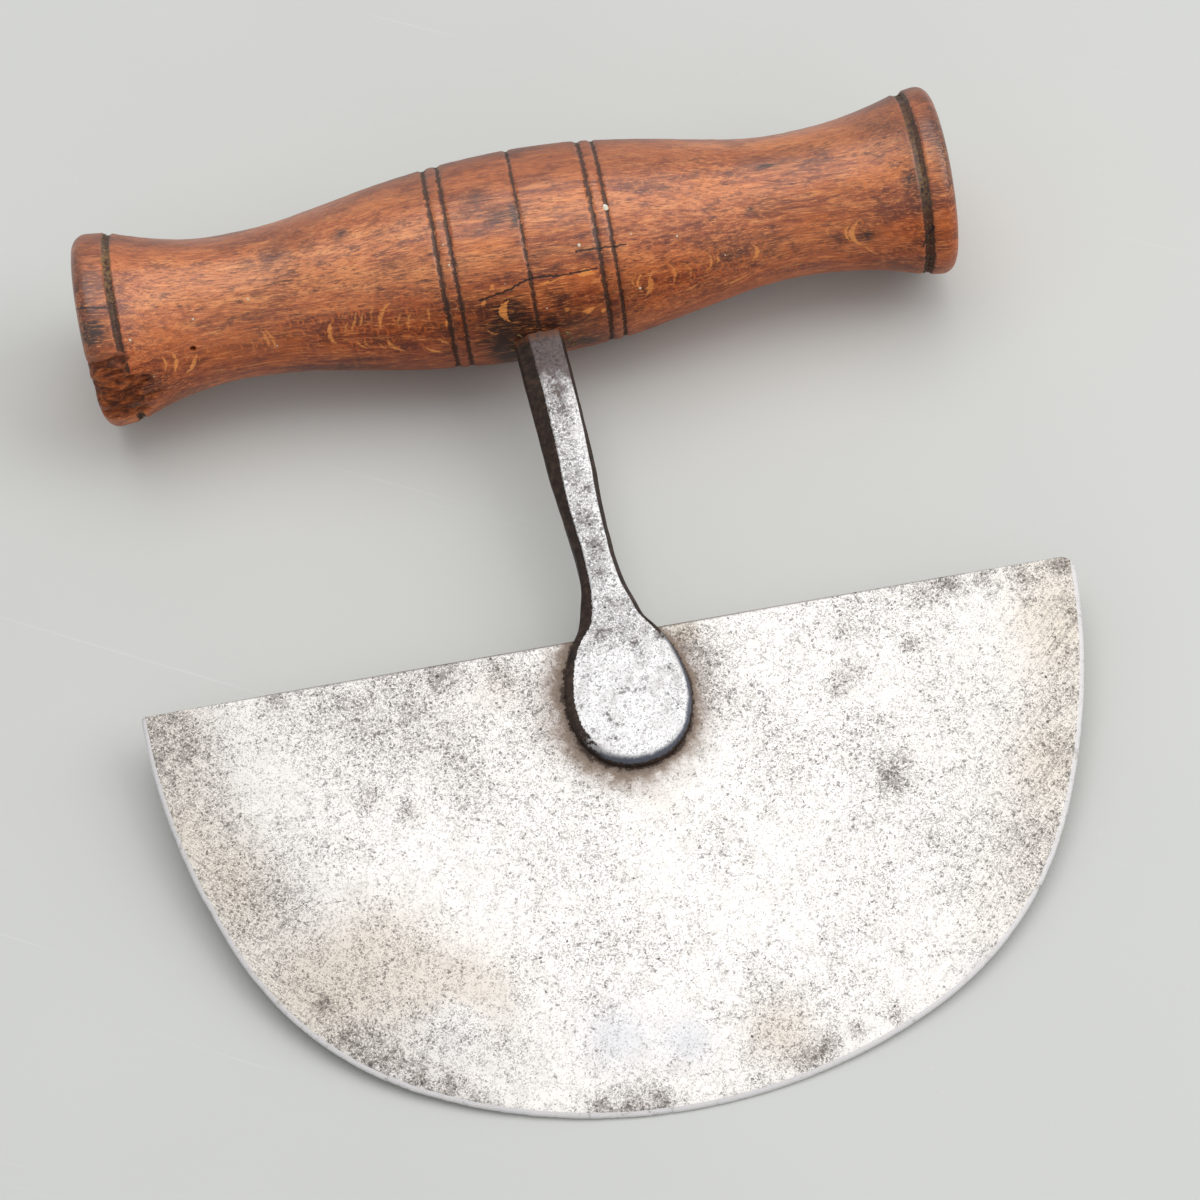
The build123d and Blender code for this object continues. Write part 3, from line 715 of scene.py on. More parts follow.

# %% [markdown]
# Figured areas are darker and carry many small crescents. Pale patches and stains are the soft spots
# from above, made ragged along the grain so that they look soaked in and not painted on. The underside
# is painted darker and redder as shade, the top is painted darker as shade, and pale dashes on the
# lower half are a painted sheen.

# %% Figure, stains, and the painted shade and sheen
figured = wood.attribute("figured")
bent = wood.wavered(unrolled, (2.2, 2.2, 0.0), Scale=0.25, Detail=3.0)
darker = wood.times(wood.between(mottled, 0.40, 0.60), wood.between(figured, 0.2, 1.0, 0.0, 0.70))
wood.coat(darker, (96, 38, 18))
small = crescents(wood, bent, 1.4, 3.0, 0.42, 0.20, 0.0)
wood.coat(wood.times(small, wood.between(figured, 0.0, 0.7, 0.10, 0.75)), (214, 118, 50))
pale = wood.times(wood.attribute("pale"), wood.between(streaks, 0.34, 0.64, 0.45, 1.35))
wood.coat(wood.times(pale, 0.62, clamp=True), (214, 120, 54))
ragged = wood.between(wood.times_plus(dashes, 0.5, wood.times(streaks, 0.5)), 0.36, 0.62, 0.4, 1.3)
dirty = wood.times(wood.attribute("stain"), ragged, clamp=True)
wood.coat(wood.times(dirty, 0.94), (34, 17, 14))
uneven_below, uneven_above = (wood.times_plus(clouds, height, wood_up) for height in (6.0, 4.0))
# painted shade: the underside is multiplied darker and redder, as the side turned away from the light
below = wood.between(uneven_below, -2.5, -12.5)
wood.coat(wood.times(below, 0.8), (232, 196, 174), "MULTIPLY")
# painted shade on the top: a deeper brown coat, then a darker multiply, to tone down the lit top
above = wood.between(uneven_above, 9.0, 17.0)
wood.coat(wood.between(uneven_above, 2.0, 10.0, 0.0, 0.34), (164, 82, 38))
wood.coat(above, (182, 162, 134), "MULTIPLY")
# painted sheen: pale orange dashes, stronger towards the lower half, standing in for gloss
painted_sheen = wood.times(wood.between(dashes, 0.50, 0.36), wood.between(streaks, 0.44, 0.58))
wood.coat(wood.times(painted_sheen, wood.between(wood_up, 4.0, -8.0, 0.0, 0.55)), (240, 152, 86))
print("nodes with the figure", len(wood.tree.nodes))

# %% [markdown]
# Last come the marks of use: the placed crescents, the raw wood in the worm-eaten corner, the dirt and
# dry crust in the grooves, and the cracks. The coat of polish is thin, and thinner on the underside and the
# top.

# %% Marks of use, and the sheen
centred = wood.vector("SUBTRACT", unrolled, (0.55, 0.55, 0.0))
bent = wood.wavered(centred, (1.1, 1.1, 0.0), Scale=1.6, Detail=3.0, Roughness=0.7)
worn_through = wood.times_plus(dashes, 0.6, wood.times(mottled, 0.4))
seen = wood.between(worn_through, 0.62, 0.46, 0.35, 1.0)
wood.coat(wood.times(placed_arcs(wood, bent), seen), (236, 148, 72))
chip = wood.attribute("loss")
torn = wood.grain(0.30, 0.95, 6, 0.72)
raw = wood.ramp(torn, (0.36, 30, 14, 9), (0.46, 98, 44, 20), (0.58, 160, 82, 36), (0.7, 196, 116, 56))
wood.coat(wood.between(chip, 0.15, 0.6, 0.0, 0.9), raw)
grit = wood.grain(1.1, 1.1, 5, 0.7)
groove = wood.times_plus(wood.between(grit, 0.3, 0.7, -0.5, 0.5), 0.7, wood.attribute("groove"))
groove = wood.times(wood.between(groove, 0.28, 0.74), wood.between(chip, 0.5, 0.1))
wood.coat(wood.times(groove, 0.9), wood.ramp(grit, (0.36, 30, 20, 17), (0.62, 70, 44, 30)))
crust = wood.times(wood.attribute("crust"), wood.between(grit, 0.44, 0.56), clamp=True)
wood.coat(wood.times(wood.times(crust, groove), 0.8), (142, 106, 58))
split_wood = cracks(wood, unrolled)
wood.coat(wood.times(split_wood, 0.92), (34, 17, 12))
dull = wood.times_plus(above, 0.85, wood.between(uneven_below, -5.5, -13.0))
rough = wood.larger(wood.between(streaks, 0.3, 0.7, 0.34, 0.46), wood.times(wood.larger(chip, groove), 0.85))
height = wood.times_plus(dark, -0.5, wood.times_plus(dashes, 1.6, layers))
height = wood.times_plus(deeper, -0.6, height)
height = wood.times_plus(split_wood, -4.0, height)
height = wood.times_plus(wood.times(torn, chip), 9.0, height)
wood.wear(Roughness=rough, Specular_IOR_Level=wood.times_plus(dull, -0.42, 0.68),
          Coat_Weight=wood.times_plus(dull, -0.36, 0.46), Coat_Roughness=0.24,
          Normal=wood.relief(height, 0.00006))
print("nodes in the wood", len(wood.tree.nodes))

# %% Handle piece
def with_ends(values):
    """Adds zeros for the two end faces, which come after the grid."""
    return np.concatenate((values.ravel(), np.zeros(len(handle_points) - values.size)))


handle_values = {"loss": with_ends(loss), "groove": with_ends(np.clip(groove_cut(grid_place) / 0.4, 0, 1))}
for key, marks, backwards in (("stain", DARK_SPOTS, 0.5), ("pale", PALE_SPOTS, 0.6), ("figured", FIGURED, 1.0),
                              ("crust", CRUST, 0.5)):
    handle_values[key] = with_ends(oval_spots(marks, grid_place, grid_angle, backwards))
handle = make_piece("handle_worn", handle_points, handle_faces, wood.material, handle_values)
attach(handle, "root")
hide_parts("handle")
print("handle", [round(side * 1000, 1) for side in handle.dimensions])

# %% [markdown]
# ## The blade
# A flat plate: full thickness in the middle, ground thinner over the last 24 mm, then a fine bevel.
# Its outline is three arcs on each side. Rows of points follow that outline inwards, so the bevel
# stays a crisp line, and the finish can read how far each point is from the edge and the palm.

# %% The blade's outline
BLADE_WIDTH = 165.0
BLADE_DEPTH = 85.0
SPINE_DROP = 77.6
BLADE_SIDE_SHIFT = 2.6
SHOULDER_RADIUS_SHARE = 0.627
BELLY, SHOULDER, SIDE = (math.radians(angle) for angle in (26.3, 38.2, 22.7))


def blade_edge(count):
    """Points and inward directions along the curved edge, from the left corner to the right."""
    a, b = BELLY, BELLY + SHOULDER
    c = b + SIDE
    out = math.sin(a) + SHOULDER_RADIUS_SHARE * (math.sin(b) - math.sin(a))
    up = 1 - math.cos(a) + SHOULDER_RADIUS_SHARE * (math.cos(a) - math.cos(b))
    side_out, side_up = math.sin(c) - math.sin(b), math.cos(b) - math.cos(c)
    whole = out * side_up - up * side_out
    belly_radius = (BLADE_WIDTH / 2 * side_up - BLADE_DEPTH * side_out) / whole
    side_radius = (BLADE_DEPTH * out - BLADE_WIDTH / 2 * up) / whole
    turn = np.linspace(-c, c, count)
    size = np.abs(turn)
    shoulder_radius = belly_radius * SHOULDER_RADIUS_SHARE
    radius = np.where(size < a, belly_radius, np.where(size < b, shoulder_radius, side_radius))
    steps = (radius[1:] + radius[:-1]) / 2 * np.diff(turn)
    middle = (turn[1:] + turn[:-1]) / 2
    x = np.concatenate(((0,), np.cumsum(steps * np.cos(middle))))
    y = np.concatenate(((0,), np.cumsum(steps * np.sin(middle))))
    x = (x - x[-1] / 2) * (BLADE_WIDTH / x[-1])
    y = y - y[0]
    inward = np.stack((-np.sin(turn), np.cos(turn)), axis=-1)
    return np.stack((x, y), axis=-1), inward


edge_line, edge_inward = blade_edge(4001)
print("blade edge", edge_line.min(axis=0).round(2), edge_line.max(axis=0).round(2))

# %% Blade sheet
BEVEL, GRIND = 0.8, 23.0
BEVEL_ROWS = (0.0, 0.4, 0.78, 0.85)  # insets of the first rows, which frame the bevel
ROW_BY_SPINE = 1 - 0.35 / 80  # the last row before the spine, so that the spine's edge is eased
SPINE_EASING = 0.18
HALF_THICK, HALF_AT_BEVEL, HALF_AT_EDGE = 0.8, 0.45, 0.15
LEFT_CORNER, RIGHT_CORNER = 1.0, 3.0
BLADE_COLUMNS, BLADE_ROWS = 430, 94


def plate_thickness(inset):
    """Half the plate's thickness at a distance from the curved edge."""
    grind = HALF_AT_BEVEL + (HALF_THICK - HALF_AT_BEVEL) * np.clip((inset - BEVEL) / GRIND, 0, 1)
    bevel = HALF_AT_EDGE + (HALF_AT_BEVEL - HALF_AT_EDGE) * np.clip(inset / BEVEL, 0, 1)
    return np.where(inset < BEVEL, bevel, grind)


def blade_sheet(columns, rows):
    """Rows of flat points from the edge up to the spine, and how far each is from the edge."""
    share = np.linspace(0, 1, columns)
    pick = share * (len(edge_line) - 1)
    known = np.arange(len(edge_line))
    edge, inward = (np.stack([np.interp(pick, known, values[:, k]) for k in (0, 1)], axis=-1)
                    for values in (edge_line, edge_inward))
    nick = chatter(31, 40, 0.05, 1.0, 14)(np.column_stack((edge, np.zeros(columns))))
    edge = edge + inward * np.clip(nick, 0, 0.3)[:, None]
    sheet = [np.column_stack((edge + inward * inset, np.full(columns, inset))) for inset in BEVEL_ROWS]
    last = sheet[-1][:, :2]
    # the spine, with its two corners rounded
    half = BLADE_WIDTH / 2
    spine_x = -half + LEFT_CORNER + share * (BLADE_WIDTH - LEFT_CORNER - RIGHT_CORNER)
    spine = np.column_stack((spine_x, np.zeros(columns)))
    spread = np.linspace(0, 1, rows + 1)[1:]
    for step in np.concatenate((spread[:-1], (ROW_BY_SPINE, 1.0))):
        flat = last + (spine - last) * step
        sheet.append(np.column_stack((flat, np.full(columns, -1.0))))
    return np.stack(sheet)


def distance_to(line, flat, block=20000):
    """How far flat points are from a line of points, worked out in blocks to save memory."""
    blocks = [flat[start:start + block] for start in range(0, len(flat), block)]
    return np.concatenate([np.sqrt(((part[:, None] - line[None]) ** 2).sum(-1).min(axis=1)) for part in blocks])


def rounded(sheet, side, radius):
    """Pulls the points of one spine corner in to a round corner."""
    east = side * sheet[..., 0] - (BLADE_WIDTH / 2 - radius)
    north = sheet[..., 1] + radius
    away = np.hypot(east, north)
    pull = np.where((east > 0) & (north > 0) & (away > radius), radius / np.maximum(away, 1e-9), 1)
    sheet[..., 0] = np.where(pull < 1, side * (BLADE_WIDTH / 2 - radius + east * pull), sheet[..., 0])
    sheet[..., 1] = np.where(pull < 1, north * pull - radius, sheet[..., 1])


sheet = blade_sheet(BLADE_COLUMNS, BLADE_ROWS)
sheet[..., 1] = np.minimum(sheet[..., 1], 0)
rounded(sheet, -1, LEFT_CORNER)
rounded(sheet, 1, RIGHT_CORNER)
flat = sheet.reshape(-1, 3)
inset = np.where(flat[:, 2] < 0, distance_to(edge_line[::8], flat[:, :2]), flat[:, 2])
half_thick = plate_thickness(inset) - SPINE_EASING * (flat[:, 1] > -0.05) * (inset > 1)
ripple = chatter(33, 14, 0.012, 14, 60)
sides = []
for way in (1, -1):
    level = way * (half_thick + 0.5 * ripple(np.column_stack((flat[:, :2], np.full(len(flat), way * 9.0)))))
    sides.append(np.column_stack((flat[:, 0] + BLADE_SIDE_SHIFT, flat[:, 1] - SPINE_DROP, level)))
blade_points = np.concatenate(sides)
rows, columns = sheet.shape[:2]
front = rows_to_faces(rows, columns)
back = rows_to_faces(rows, columns, rows * columns)[:, ::-1]
outer = list(range(columns)) + [row * columns + columns - 1 for row in range(1, rows)]
outer += [(rows - 1) * columns + k for k in range(columns - 2, -1, -1)]
outer += [row * columns for row in range(rows - 2, 0, -1)]
half_count = rows * columns
wall = [(a, b, b + half_count, a + half_count) for a, b in zip(outer, outer[1:] + outer[:1])]
blade_faces = front.tolist() + back.tolist() + wall
print("blade sheet", sheet.shape)

# %% [markdown]
# ## The steel
# Old carbon steel, rubbed bright again. Under the soft light the clean metal is nearly white, and
# what is left of the rust stays in it: a fine dark grain, small pits, and smudges. How thick they
# lie changes from place to place, so one value, the density, opens or closes all three patterns.

# %% Patterns that both steels share
def rusty_grain(finish, density, size=1.0):
    """Grain, pits and smudges, each from 0 to 1, thicker where the density is high."""
    bent = finish.wavered(finish.place, (0.6, 0.6, 0.6), Scale=1.3, Detail=2.0)
    torn = finish.wavered(bent, (0.30, 0.30, 0.30), Scale=4.5, Detail=1.0)

    def spread(value, low, high):
        return finish.put("MapRange", i0=value, i1=0.0, i2=1.0, i3=low, i4=high)

    def scattered(scale):
        """A scattered pattern of cells: how near the next one is, and a chance for each."""
        near = finish.put("TexVoronoi", Vector=torn, Scale=scale)
        return near, finish.put("SeparateColor", i0=near.node.outputs["Color"])

    def rusted_cells(cell, sparse, dense, soft):
        """The cells that rust has reached: the denser, the more of them."""
        luck = scattered(1 / (cell * size))[1]
        return finish.between(finish.minus(spread(density, sparse, dense), luck), 0.0, soft)

    grains = rusted_cells(0.33, 0.04, 0.34, 0.12)
    grain = finish.larger(finish.times(rusted_cells(0.19, 0.26, 1.0, 0.42), 0.62), grains)
    near, luck = scattered(0.62 / size)
    reach = spread(finish.sum_of("POWER", luck, 3.0), 0.0, 0.26)
    reach = finish.times(reach, finish.times_plus(density, 0.9, 0.55))
    uneven = finish.times_plus(grains, 0.06, near)
    pits = finish.between(finish.minus(finish.plus(reach, -0.03), uneven), 0.0, 0.06)
    patch = finish.noise(bent, scale=0.5 / size, detail=6, roughness=0.75)
    smudge = finish.between(finish.minus(patch, spread(density, 0.66, 0.49)), 0.0, 0.14)
    return grain, pits, smudge


def grinding_marks(finish, width, slant):
    """Fine lines, mirrored left and right of the middle, the way a blade is drawn over the wheel."""
    parts = finish.put("SeparateXYZ", Vector=finish.place)
    mirrored = finish.put("CombineXYZ", X=finish.sum_of("ABSOLUTE", parts), Y=parts.node.outputs[1])
    turned = finish.stretched((0.05, width, 1), (0, 0, slant), base=mirrored)
    return finish.noise(turned, detail=3, roughness=0.62)


print("patterns for the steel are ready")

# %% [markdown]
# ## The blade's steel
# Clouds of tarnish lie where the photograph shows them: each is a soft spot with a place, a reach
# and a strength. Their sum travels with the mesh, and the finish breaks it up with noise. First it
# is worked out how thick the rust lies, then the coats go on: clean metal, stains, grinding lines,
# rust, and the bright bevel last.

# %% Blade finish: how thick the rust lies
steel = Finish("blade_steel")
tarnish, tint, rim, ring = (steel.attribute(name) for name in ("tarnish", "tint", "rim", "halo"))
parts = steel.put("SeparateXYZ", Vector=steel.place)
sideways = steel.between(steel.sum_of("ABSOLUTE", parts), 38.0, 76.0)
broad = steel.grain(0.05, 0.05, 6, 0.66)
middling = steel.grain(0.30, 0.30, 5, 0.66, shift=(4, 1, 0))
ground = steel.times(steel.between(rim, 5.0, 17.0, 1.0, 0.0), steel.times_plus(sideways, 0.85, 0.15))
broken = steel.times(tarnish, steel.between(middling, 0.36, 0.62, 0.35, 1.1))
density = steel.plus(steel.between(broad, 0.36, 0.66, 0.02, 0.30), steel.times(broken, 0.62))
near_spine = steel.between(parts.node.outputs[1], -96.0, -64.0)
density = steel.times_plus(ground, 0.06, steel.times_plus(near_spine, 0.16, density))
density = steel.plus(density, steel.times(ring, 0.25), clamp=True)
clumps = steel.grain(0.8, 0.8, 3, 0.6, shift=(1, 8, 2))
density = steel.plus(density, steel.between(clumps, 0.36, 0.64, -0.14, 0.14), clamp=True)
grain, pits, smudge = rusty_grain(steel, density)
print("nodes for the blade's rust", len(steel.tree.nodes))

# %% Blade finish: its coats
steel.colour = steel.ramp(middling, (0.34, 215, 211, 206), (0.50, 225, 221, 217), (0.66, 231, 227, 223))
# painted shade: the clean metal is made darker towards both sides, where its reflection falls off
steel.coat(steel.times(sideways, 0.4), (200, 196, 190))
steel.coat(steel.times(broken, 0.50, clamp=True), (176, 167, 161))
steel.coat(steel.times(ground, 0.50), (212, 204, 192))
steel.coat(steel.between(tint, 0.0, 1.0, 0.0, 0.5), (193, 180, 160))
steel.coat(steel.between(tint, 0.0, -1.0, 0.0, 0.35), (172, 180, 196))
marks = grinding_marks(steel, 3.4, -0.80)
steel.coat(steel.times(steel.between(marks, 0.48, 0.66), steel.times_plus(ground, 0.34, 0.05)), (112, 104, 97))
steel.coat(steel.times(steel.between(marks, 0.42, 0.30), steel.times(ground, 0.4)), (214, 209, 200))
steel.coat(steel.times(smudge, 0.34), (112, 103, 100))
steel.coat(steel.times(grain, steel.between(density, 0.0, 0.8, 0.55, 0.85)), (96, 86, 80))
steel.coat(steel.times(pits, 0.85), (66, 56, 53))
stain = steel.grain(0.6, 0.6, 5, 0.7)
# the halo round the palm is part old rust and part painted contact shadow: brown near the palm, dark brown at
# its foot
rust = steel.times(ring, steel.between(stain, 0.30, 0.62, 0.6, 1.0), clamp=True)
steel.coat(steel.between(rust, 0.0, 0.62, 0.0, 0.9), (132, 112, 96))
steel.coat(steel.between(rust, 0.78, 1.05, 0.0, 0.9), (60, 42, 33))
# the honed bevel, partly fresh steel and partly a painted highlight: pale, less metallic and rougher, so it
# reads bright from any side
honed_bevel_highlight = steel.times(steel.between(rim, 0.83, 0.79), steel.between(stain, 0.66, 0.55, 0.35, 1.0))
steel.coat(honed_bevel_highlight, (222, 218, 216))
eaten = steel.larger(pits, grain)
worn = steel.larger(eaten, rust, clamp=True)
height = steel.times_plus(marks, steel.times(ground, 0.35), steel.times_plus(eaten, -1.0, 1.0))
steel.wear(Metallic=steel.minus(steel.between(worn, 0.0, 1.0, 0.82, 0.35), steel.times(honed_bevel_highlight, 0.60)),
           Roughness=steel.larger(steel.between(worn, 0.0, 1.0, 0.46, 0.62), steel.times(honed_bevel_highlight, 0.55)),
           Normal=steel.relief(height, 0.000022))
print("nodes in the blade's steel", len(steel.tree.nodes))

# %% [markdown]
# ## The shank's steel
# Only the faces were ever polished. The chamfers and the walls still carry brown-black forge scale,
# and the scale comes back over the face at the top of the stem, where no cloth reached.

# %% Shank finish
forged = Finish("forged_steel")
scale_left, mottle, rolled = (forged.attribute(name) for name in ("scale", "mottle", "rolled"))
parts = forged.put("SeparateXYZ", Vector=forged.place)
drop = forged.times(parts.node.outputs[1], -1.0)
patches = forged.noise(forged.stretched((0.42, 0.30, 0.42)), detail=5, roughness=0.68)
fine = forged.grain(1.5, 1.5, 4, 0.7, shift=(2, 5, 3))
density = forged.times(mottle, forged.between(patches, 0.36, 0.60, 0.4, 1.0), clamp=True)
grain, pits, smudge = rusty_grain(forged, density, 1.1)
forged.colour = forged.ramp(patches, (0.34, 184, 181, 180), (0.46, 208, 206, 205), (0.6, 220, 219, 218))
spots = forged.times(mottle, forged.between(fine, 0.38, 0.60, 0.5, 1.2))
forged.coat(forged.between(spots, 0.75, 1.35, 0.0, 0.75), (96, 84, 80))
forged.coat(forged.times(smudge, 0.6), (112, 104, 102))
forged.coat(forged.times(grain, 0.7), (92, 84, 80))
forged.coat(forged.times(pits, 0.9), (64, 56, 54))
# scale over the top of the stem, with a ragged lower edge
ragged = forged.times_plus(fine, 9.0, forged.times(patches, 16.0))
stem_top = forged.between(forged.minus(drop, ragged), 13.0, 20.5, 1.0, 0.0)
forged.coat(forged.times(stem_top, 0.9), forged.ramp(fine, (0.35, 44, 30, 27), (0.6, 96, 76, 72)))
# a painted reflection: the palm's rolled rim is coloured dark blue-grey, as curved metal mirroring dark
# surroundings; then the brown scale, then rust just under the wood
painted_rim_reflection = forged.between(forged.plus(rolled, forged.between(patches, 0.3, 0.7, -0.12, 0.12)), 0.10, 0.42)
forged.coat(forged.times(painted_rim_reflection, 0.92), (88, 92, 104))
crust = forged.between(forged.plus(scale_left, forged.between(fine, 0.35, 0.65, -0.25, 0.25)), 0.35, 0.6)
brown = forged.ramp(forged.grain(0.8, 0.8, 6, 0.65), (0.32, 28, 20, 16), (0.5, 50, 37, 30), (0.7, 78, 58, 47))
forged.coat(crust, brown)
rusty = forged.times(forged.between(drop, 20.8, 18.9, 0.0, 0.85), forged.between(fine, 0.35, 0.55))
forged.coat(rusty, (122, 72, 42))
covered, eaten = forged.larger(crust, stem_top, clamp=True), forged.larger(pits, grain)
worn = forged.larger(eaten, covered, clamp=True)
height = forged.times_plus(fine, forged.times(covered, 0.8), forged.times_plus(eaten, -1.0, 1.0))
forged.wear(Metallic=forged.between(worn, 0.0, 1.0, 0.88, 0.12), Specular_IOR_Level=0.35,
            Roughness=forged.between(worn, 0.0, 1.0, 0.47, 0.58), Normal=forged.relief(height, 0.00003))
print("nodes in the shank's steel", len(forged.tree.nodes))

# %% [markdown]
# ## The shank's shape
# The smith drew the stem out, spread its end into two palms and dressed the edges with a file. A table
# gives the reach of each side and the width of its chamfer at a few drops; a smooth line joins them.

# %% The shank's outline
STEM_TOP_DROP, NECK_DROP = 17.9, 70
PALM_ROOT_DROP, PALM_WIDEST_DROP = 76.4, 90.2
PALM_TIP_LENGTH, PALM_TIP_POWER = 12.6, 2 / 2.11
CHAMFER_DEPTH, ROUND_EDGE_DROP = 1.6, 79  # from this drop on, the chamfer is a rolled edge
FACE_FRONT, STEM_FLARE = 3.23, 0.0155
FACE_CROWN, CROWN_WIDTH = 0.12, 20
STATIONS = [  # drop below the handle's axis; reach to the left and right; left and right chamfer
    (18.4, 4.45, 4.35, 2.75, 0.75), (24.5, 4.47, 4.33, 2.90, 0.62), (33.5, 4.34, 4.41, 2.90, 0.60),
    (45.0, 4.19, 4.24, 2.36, 0.85), (53.5, 3.69, 3.79, 1.75, 0.87), (63.0, 3.20, 3.66, 1.45, 0.86),
    (68.0, 3.45, 4.10, 1.75, 0.95), (72.0, 4.30, 5.05, 2.26, 1.03), (75.8, 5.60, 6.05, 2.60, 1.0),
    (79.2, 7.94, 8.00, 2.1, 1.2), (83.3, 9.78, 9.82, 1.9, 1.2), (90.2, 10.9, 10.9, 1.8, 1.2)]


def smooth_line(xs, ys, at):
    """A smooth line through the points, with slopes that never overshoot them."""
    xs, ys = np.asarray(xs, float), np.asarray(ys, float)
    step = np.diff(xs)
    rate = np.diff(ys) / step
    slope = np.zeros_like(xs)
    for k in range(1, len(xs) - 1):
        if rate[k - 1] * rate[k] > 0:
            slope[k] = 2 * rate[k - 1] * rate[k] / (rate[k - 1] + rate[k])
    k = np.clip(np.searchsorted(xs, at) - 1, 0, len(xs) - 2)
    t = np.clip((at - xs[k]) / step[k], 0, 1)
    return ((2 * t ** 3 - 3 * t ** 2 + 1) * ys[k] + (t ** 3 - 2 * t ** 2 + t) * step[k] * slope[k]
            + (3 * t ** 2 - 2 * t ** 3) * ys[k + 1] + (t ** 3 - t ** 2) * step[k] * slope[k + 1])


def shank_side(side, drops):
    """Reach and chamfer width of one side at each drop."""
    table = np.array(STATIONS)
    first = 1 if side < 0 else 2
    return [smooth_line(table[:, 0], table[:, column], drops) for column in (first, first + 2)]


def shank_height(drops):
    """How far the shank's face is in front of its middle."""
    return FACE_FRONT + STEM_FLARE * np.clip(PALM_ROOT_DROP - drops, 0, None)


def shank_ring(side, turn):
    """One side of the outline for one level: turn is 0 at the face's edge and 1 on the wall."""
    drops = np.concatenate((np.linspace(STEM_TOP_DROP, NECK_DROP, 110),
                            np.linspace(NECK_DROP, PALM_WIDEST_DROP, 50)[1:]))
    reach, bevel = shank_side(side, drops)
    roundness = eased(drops, NECK_DROP, ROUND_EDGE_DROP)
    sine, cosine = math.sin(turn * math.pi / 2), math.cos(turn * math.pi / 2)
    cut = bevel * ((1 - turn) * (1 - roundness) + (1 - sine) * roundness)
    fall = CHAMFER_DEPTH * (turn * (1 - roundness) + (1 - cosine) * roundness)
    x, y, z = side * (reach - cut), -drops, shank_height(drops) - fall
    widest, tip_cut = reach[-1] - cut[-1], CHAMFER_DEPTH * (1 - sine)
    sweep = np.linspace(0, np.pi / 2, 46)[1:]
    tip_x = side * widest * np.abs(np.cos(sweep)) ** PALM_TIP_POWER
    tip_y = -PALM_WIDEST_DROP - (PALM_TIP_LENGTH - tip_cut) * np.sin(sweep) ** PALM_TIP_POWER
    tip_z = np.full(len(sweep), z[-1])
    return np.column_stack([np.concatenate(pair) for pair in ((x, tip_x), (y, tip_y), (z, tip_z))])


def leaned(points):
    """From the shank's own frame to the tool's: it leans, and stands a bit to the left."""
    return points @ turn_about_z(SHANK_LEAN).T + np.array((SHANK_SIDE_SHIFT, 0, 0))


FACE_COLUMNS = 49
turns = np.array((0, 0.05, 0.14, 0.3, 0.5, 0.7, 0.86, 1.0))
levels = [np.concatenate((shank_ring(-1, turn), shank_ring(1, turn)[-2::-1])) for turn in turns]
rings = np.stack(levels + [level * np.array((1, 1, -1)) for level in levels[::-1]])
ring_size = rings.shape[1]
shank_points = [rings.reshape(-1, 3)]
off = [np.repeat(np.concatenate((turns, turns[::-1])), ring_size)]  # how far off the face a point is
shank_faces = [rows_to_faces(len(rings), ring_size)]
count = len(shank_points[0])
half_ring = (ring_size + 1) // 2
for ring, way in ((rings[0], 1), (rings[-1], -1)):
    left, right = ring[:half_ring], ring[half_ring - 1:][::-1]
    shares = np.linspace(0, 1, FACE_COLUMNS)
    grid = left[:, None] + (right - left)[:, None] * shares[None, :, None]
    width = np.clip(np.abs(right - left)[:, 0:1] / CROWN_WIDTH, 0, 1)
    grid[..., 2] += way * FACE_CROWN * (1 - (2 * shares - 1) ** 2) * width
    shank_points.append(grid.reshape(-1, 3))
    off.append(np.zeros(grid.shape[0] * grid.shape[1]))
    quads = rows_to_faces(grid.shape[0], grid.shape[1], count)
    shank_faces.append(quads if way > 0 else quads[:, ::-1])
    count += grid.shape[0] * grid.shape[1]
# a lid on the stem's top, under the wood
front_first = len(shank_points[0])
back_first = front_first + len(shank_points[1])
right_way = [row * ring_size + ring_size - 1 for row in range(1, len(rings) - 1)]
left_way = [row * ring_size for row in range(len(rings) - 2, 0, -1)]
lid = [front_first + k for k in range(FACE_COLUMNS)] + right_way
lid += [back_first + k for k in range(FACE_COLUMNS - 1, -1, -1)] + left_way
shank_faces.append(np.array([lid]))
print("shank rings", rings.shape)

# %% [markdown]
# The tang runs on through the handle and ends above the rove, where the smith hammered it out into a
# low head. Its rings start square and end round, and the hammer leaves the head a little lopsided.

# %% The tang and its head
TANG_SIDES = 64
TANG_STEPS = [  # height, half width, how round: 0 is square
    (-18.6, 3.3, 0), (-8, 3.0, 0), (2, 2.8, 0), (12, 2.5, 0), (18.8, 2.35, 0), (19.42, 2.35, 0.5),
    (19.46, 3.1, 1), (19.54, 3.42, 1), (19.66, 3.46, 1), (19.80, 3.25, 1), (19.95, 2.8, 1), (20.06, 2.2, 1),
    (20.12, 1.4, 1), (20.14, 0.6, 1)]
HAMMERED_FROM = 19.6
turn_round = np.linspace(0, 2 * np.pi, TANG_SIDES + 1)[:-1]
squareness = 1 / np.maximum(np.abs(np.cos(turn_round)), np.abs(np.sin(turn_round)))
blows = chatter(45, 9, 1.0, 1.5, 5)
tang_rings = []
for height, half, roundness in TANG_STEPS:
    reach = half * (squareness * (1 - roundness) + roundness)
    level = np.full(TANG_SIDES, height)
    ring = np.stack((reach * np.sin(turn_round), level, reach * np.cos(turn_round)), axis=-1)
    dent = blows(ring)[:, None]
    ring = ring * (1 + 0.05 * dent * (roundness == 1) * np.array((1, 0, 1)))
    ring[:, 1] += 0.06 * dent[:, 0] * (height > HAMMERED_FROM)
    tang_rings.append(ring)
first = sum(len(group) for group in shank_points)
shank_points.append(np.concatenate(tang_rings))
shank_faces.append(rows_to_faces(len(TANG_STEPS), TANG_SIDES, first, around=True))
for row in (0, len(TANG_STEPS) - 1):
    shank_faces.append(np.array([np.arange(TANG_SIDES) + first + row * TANG_SIDES]))
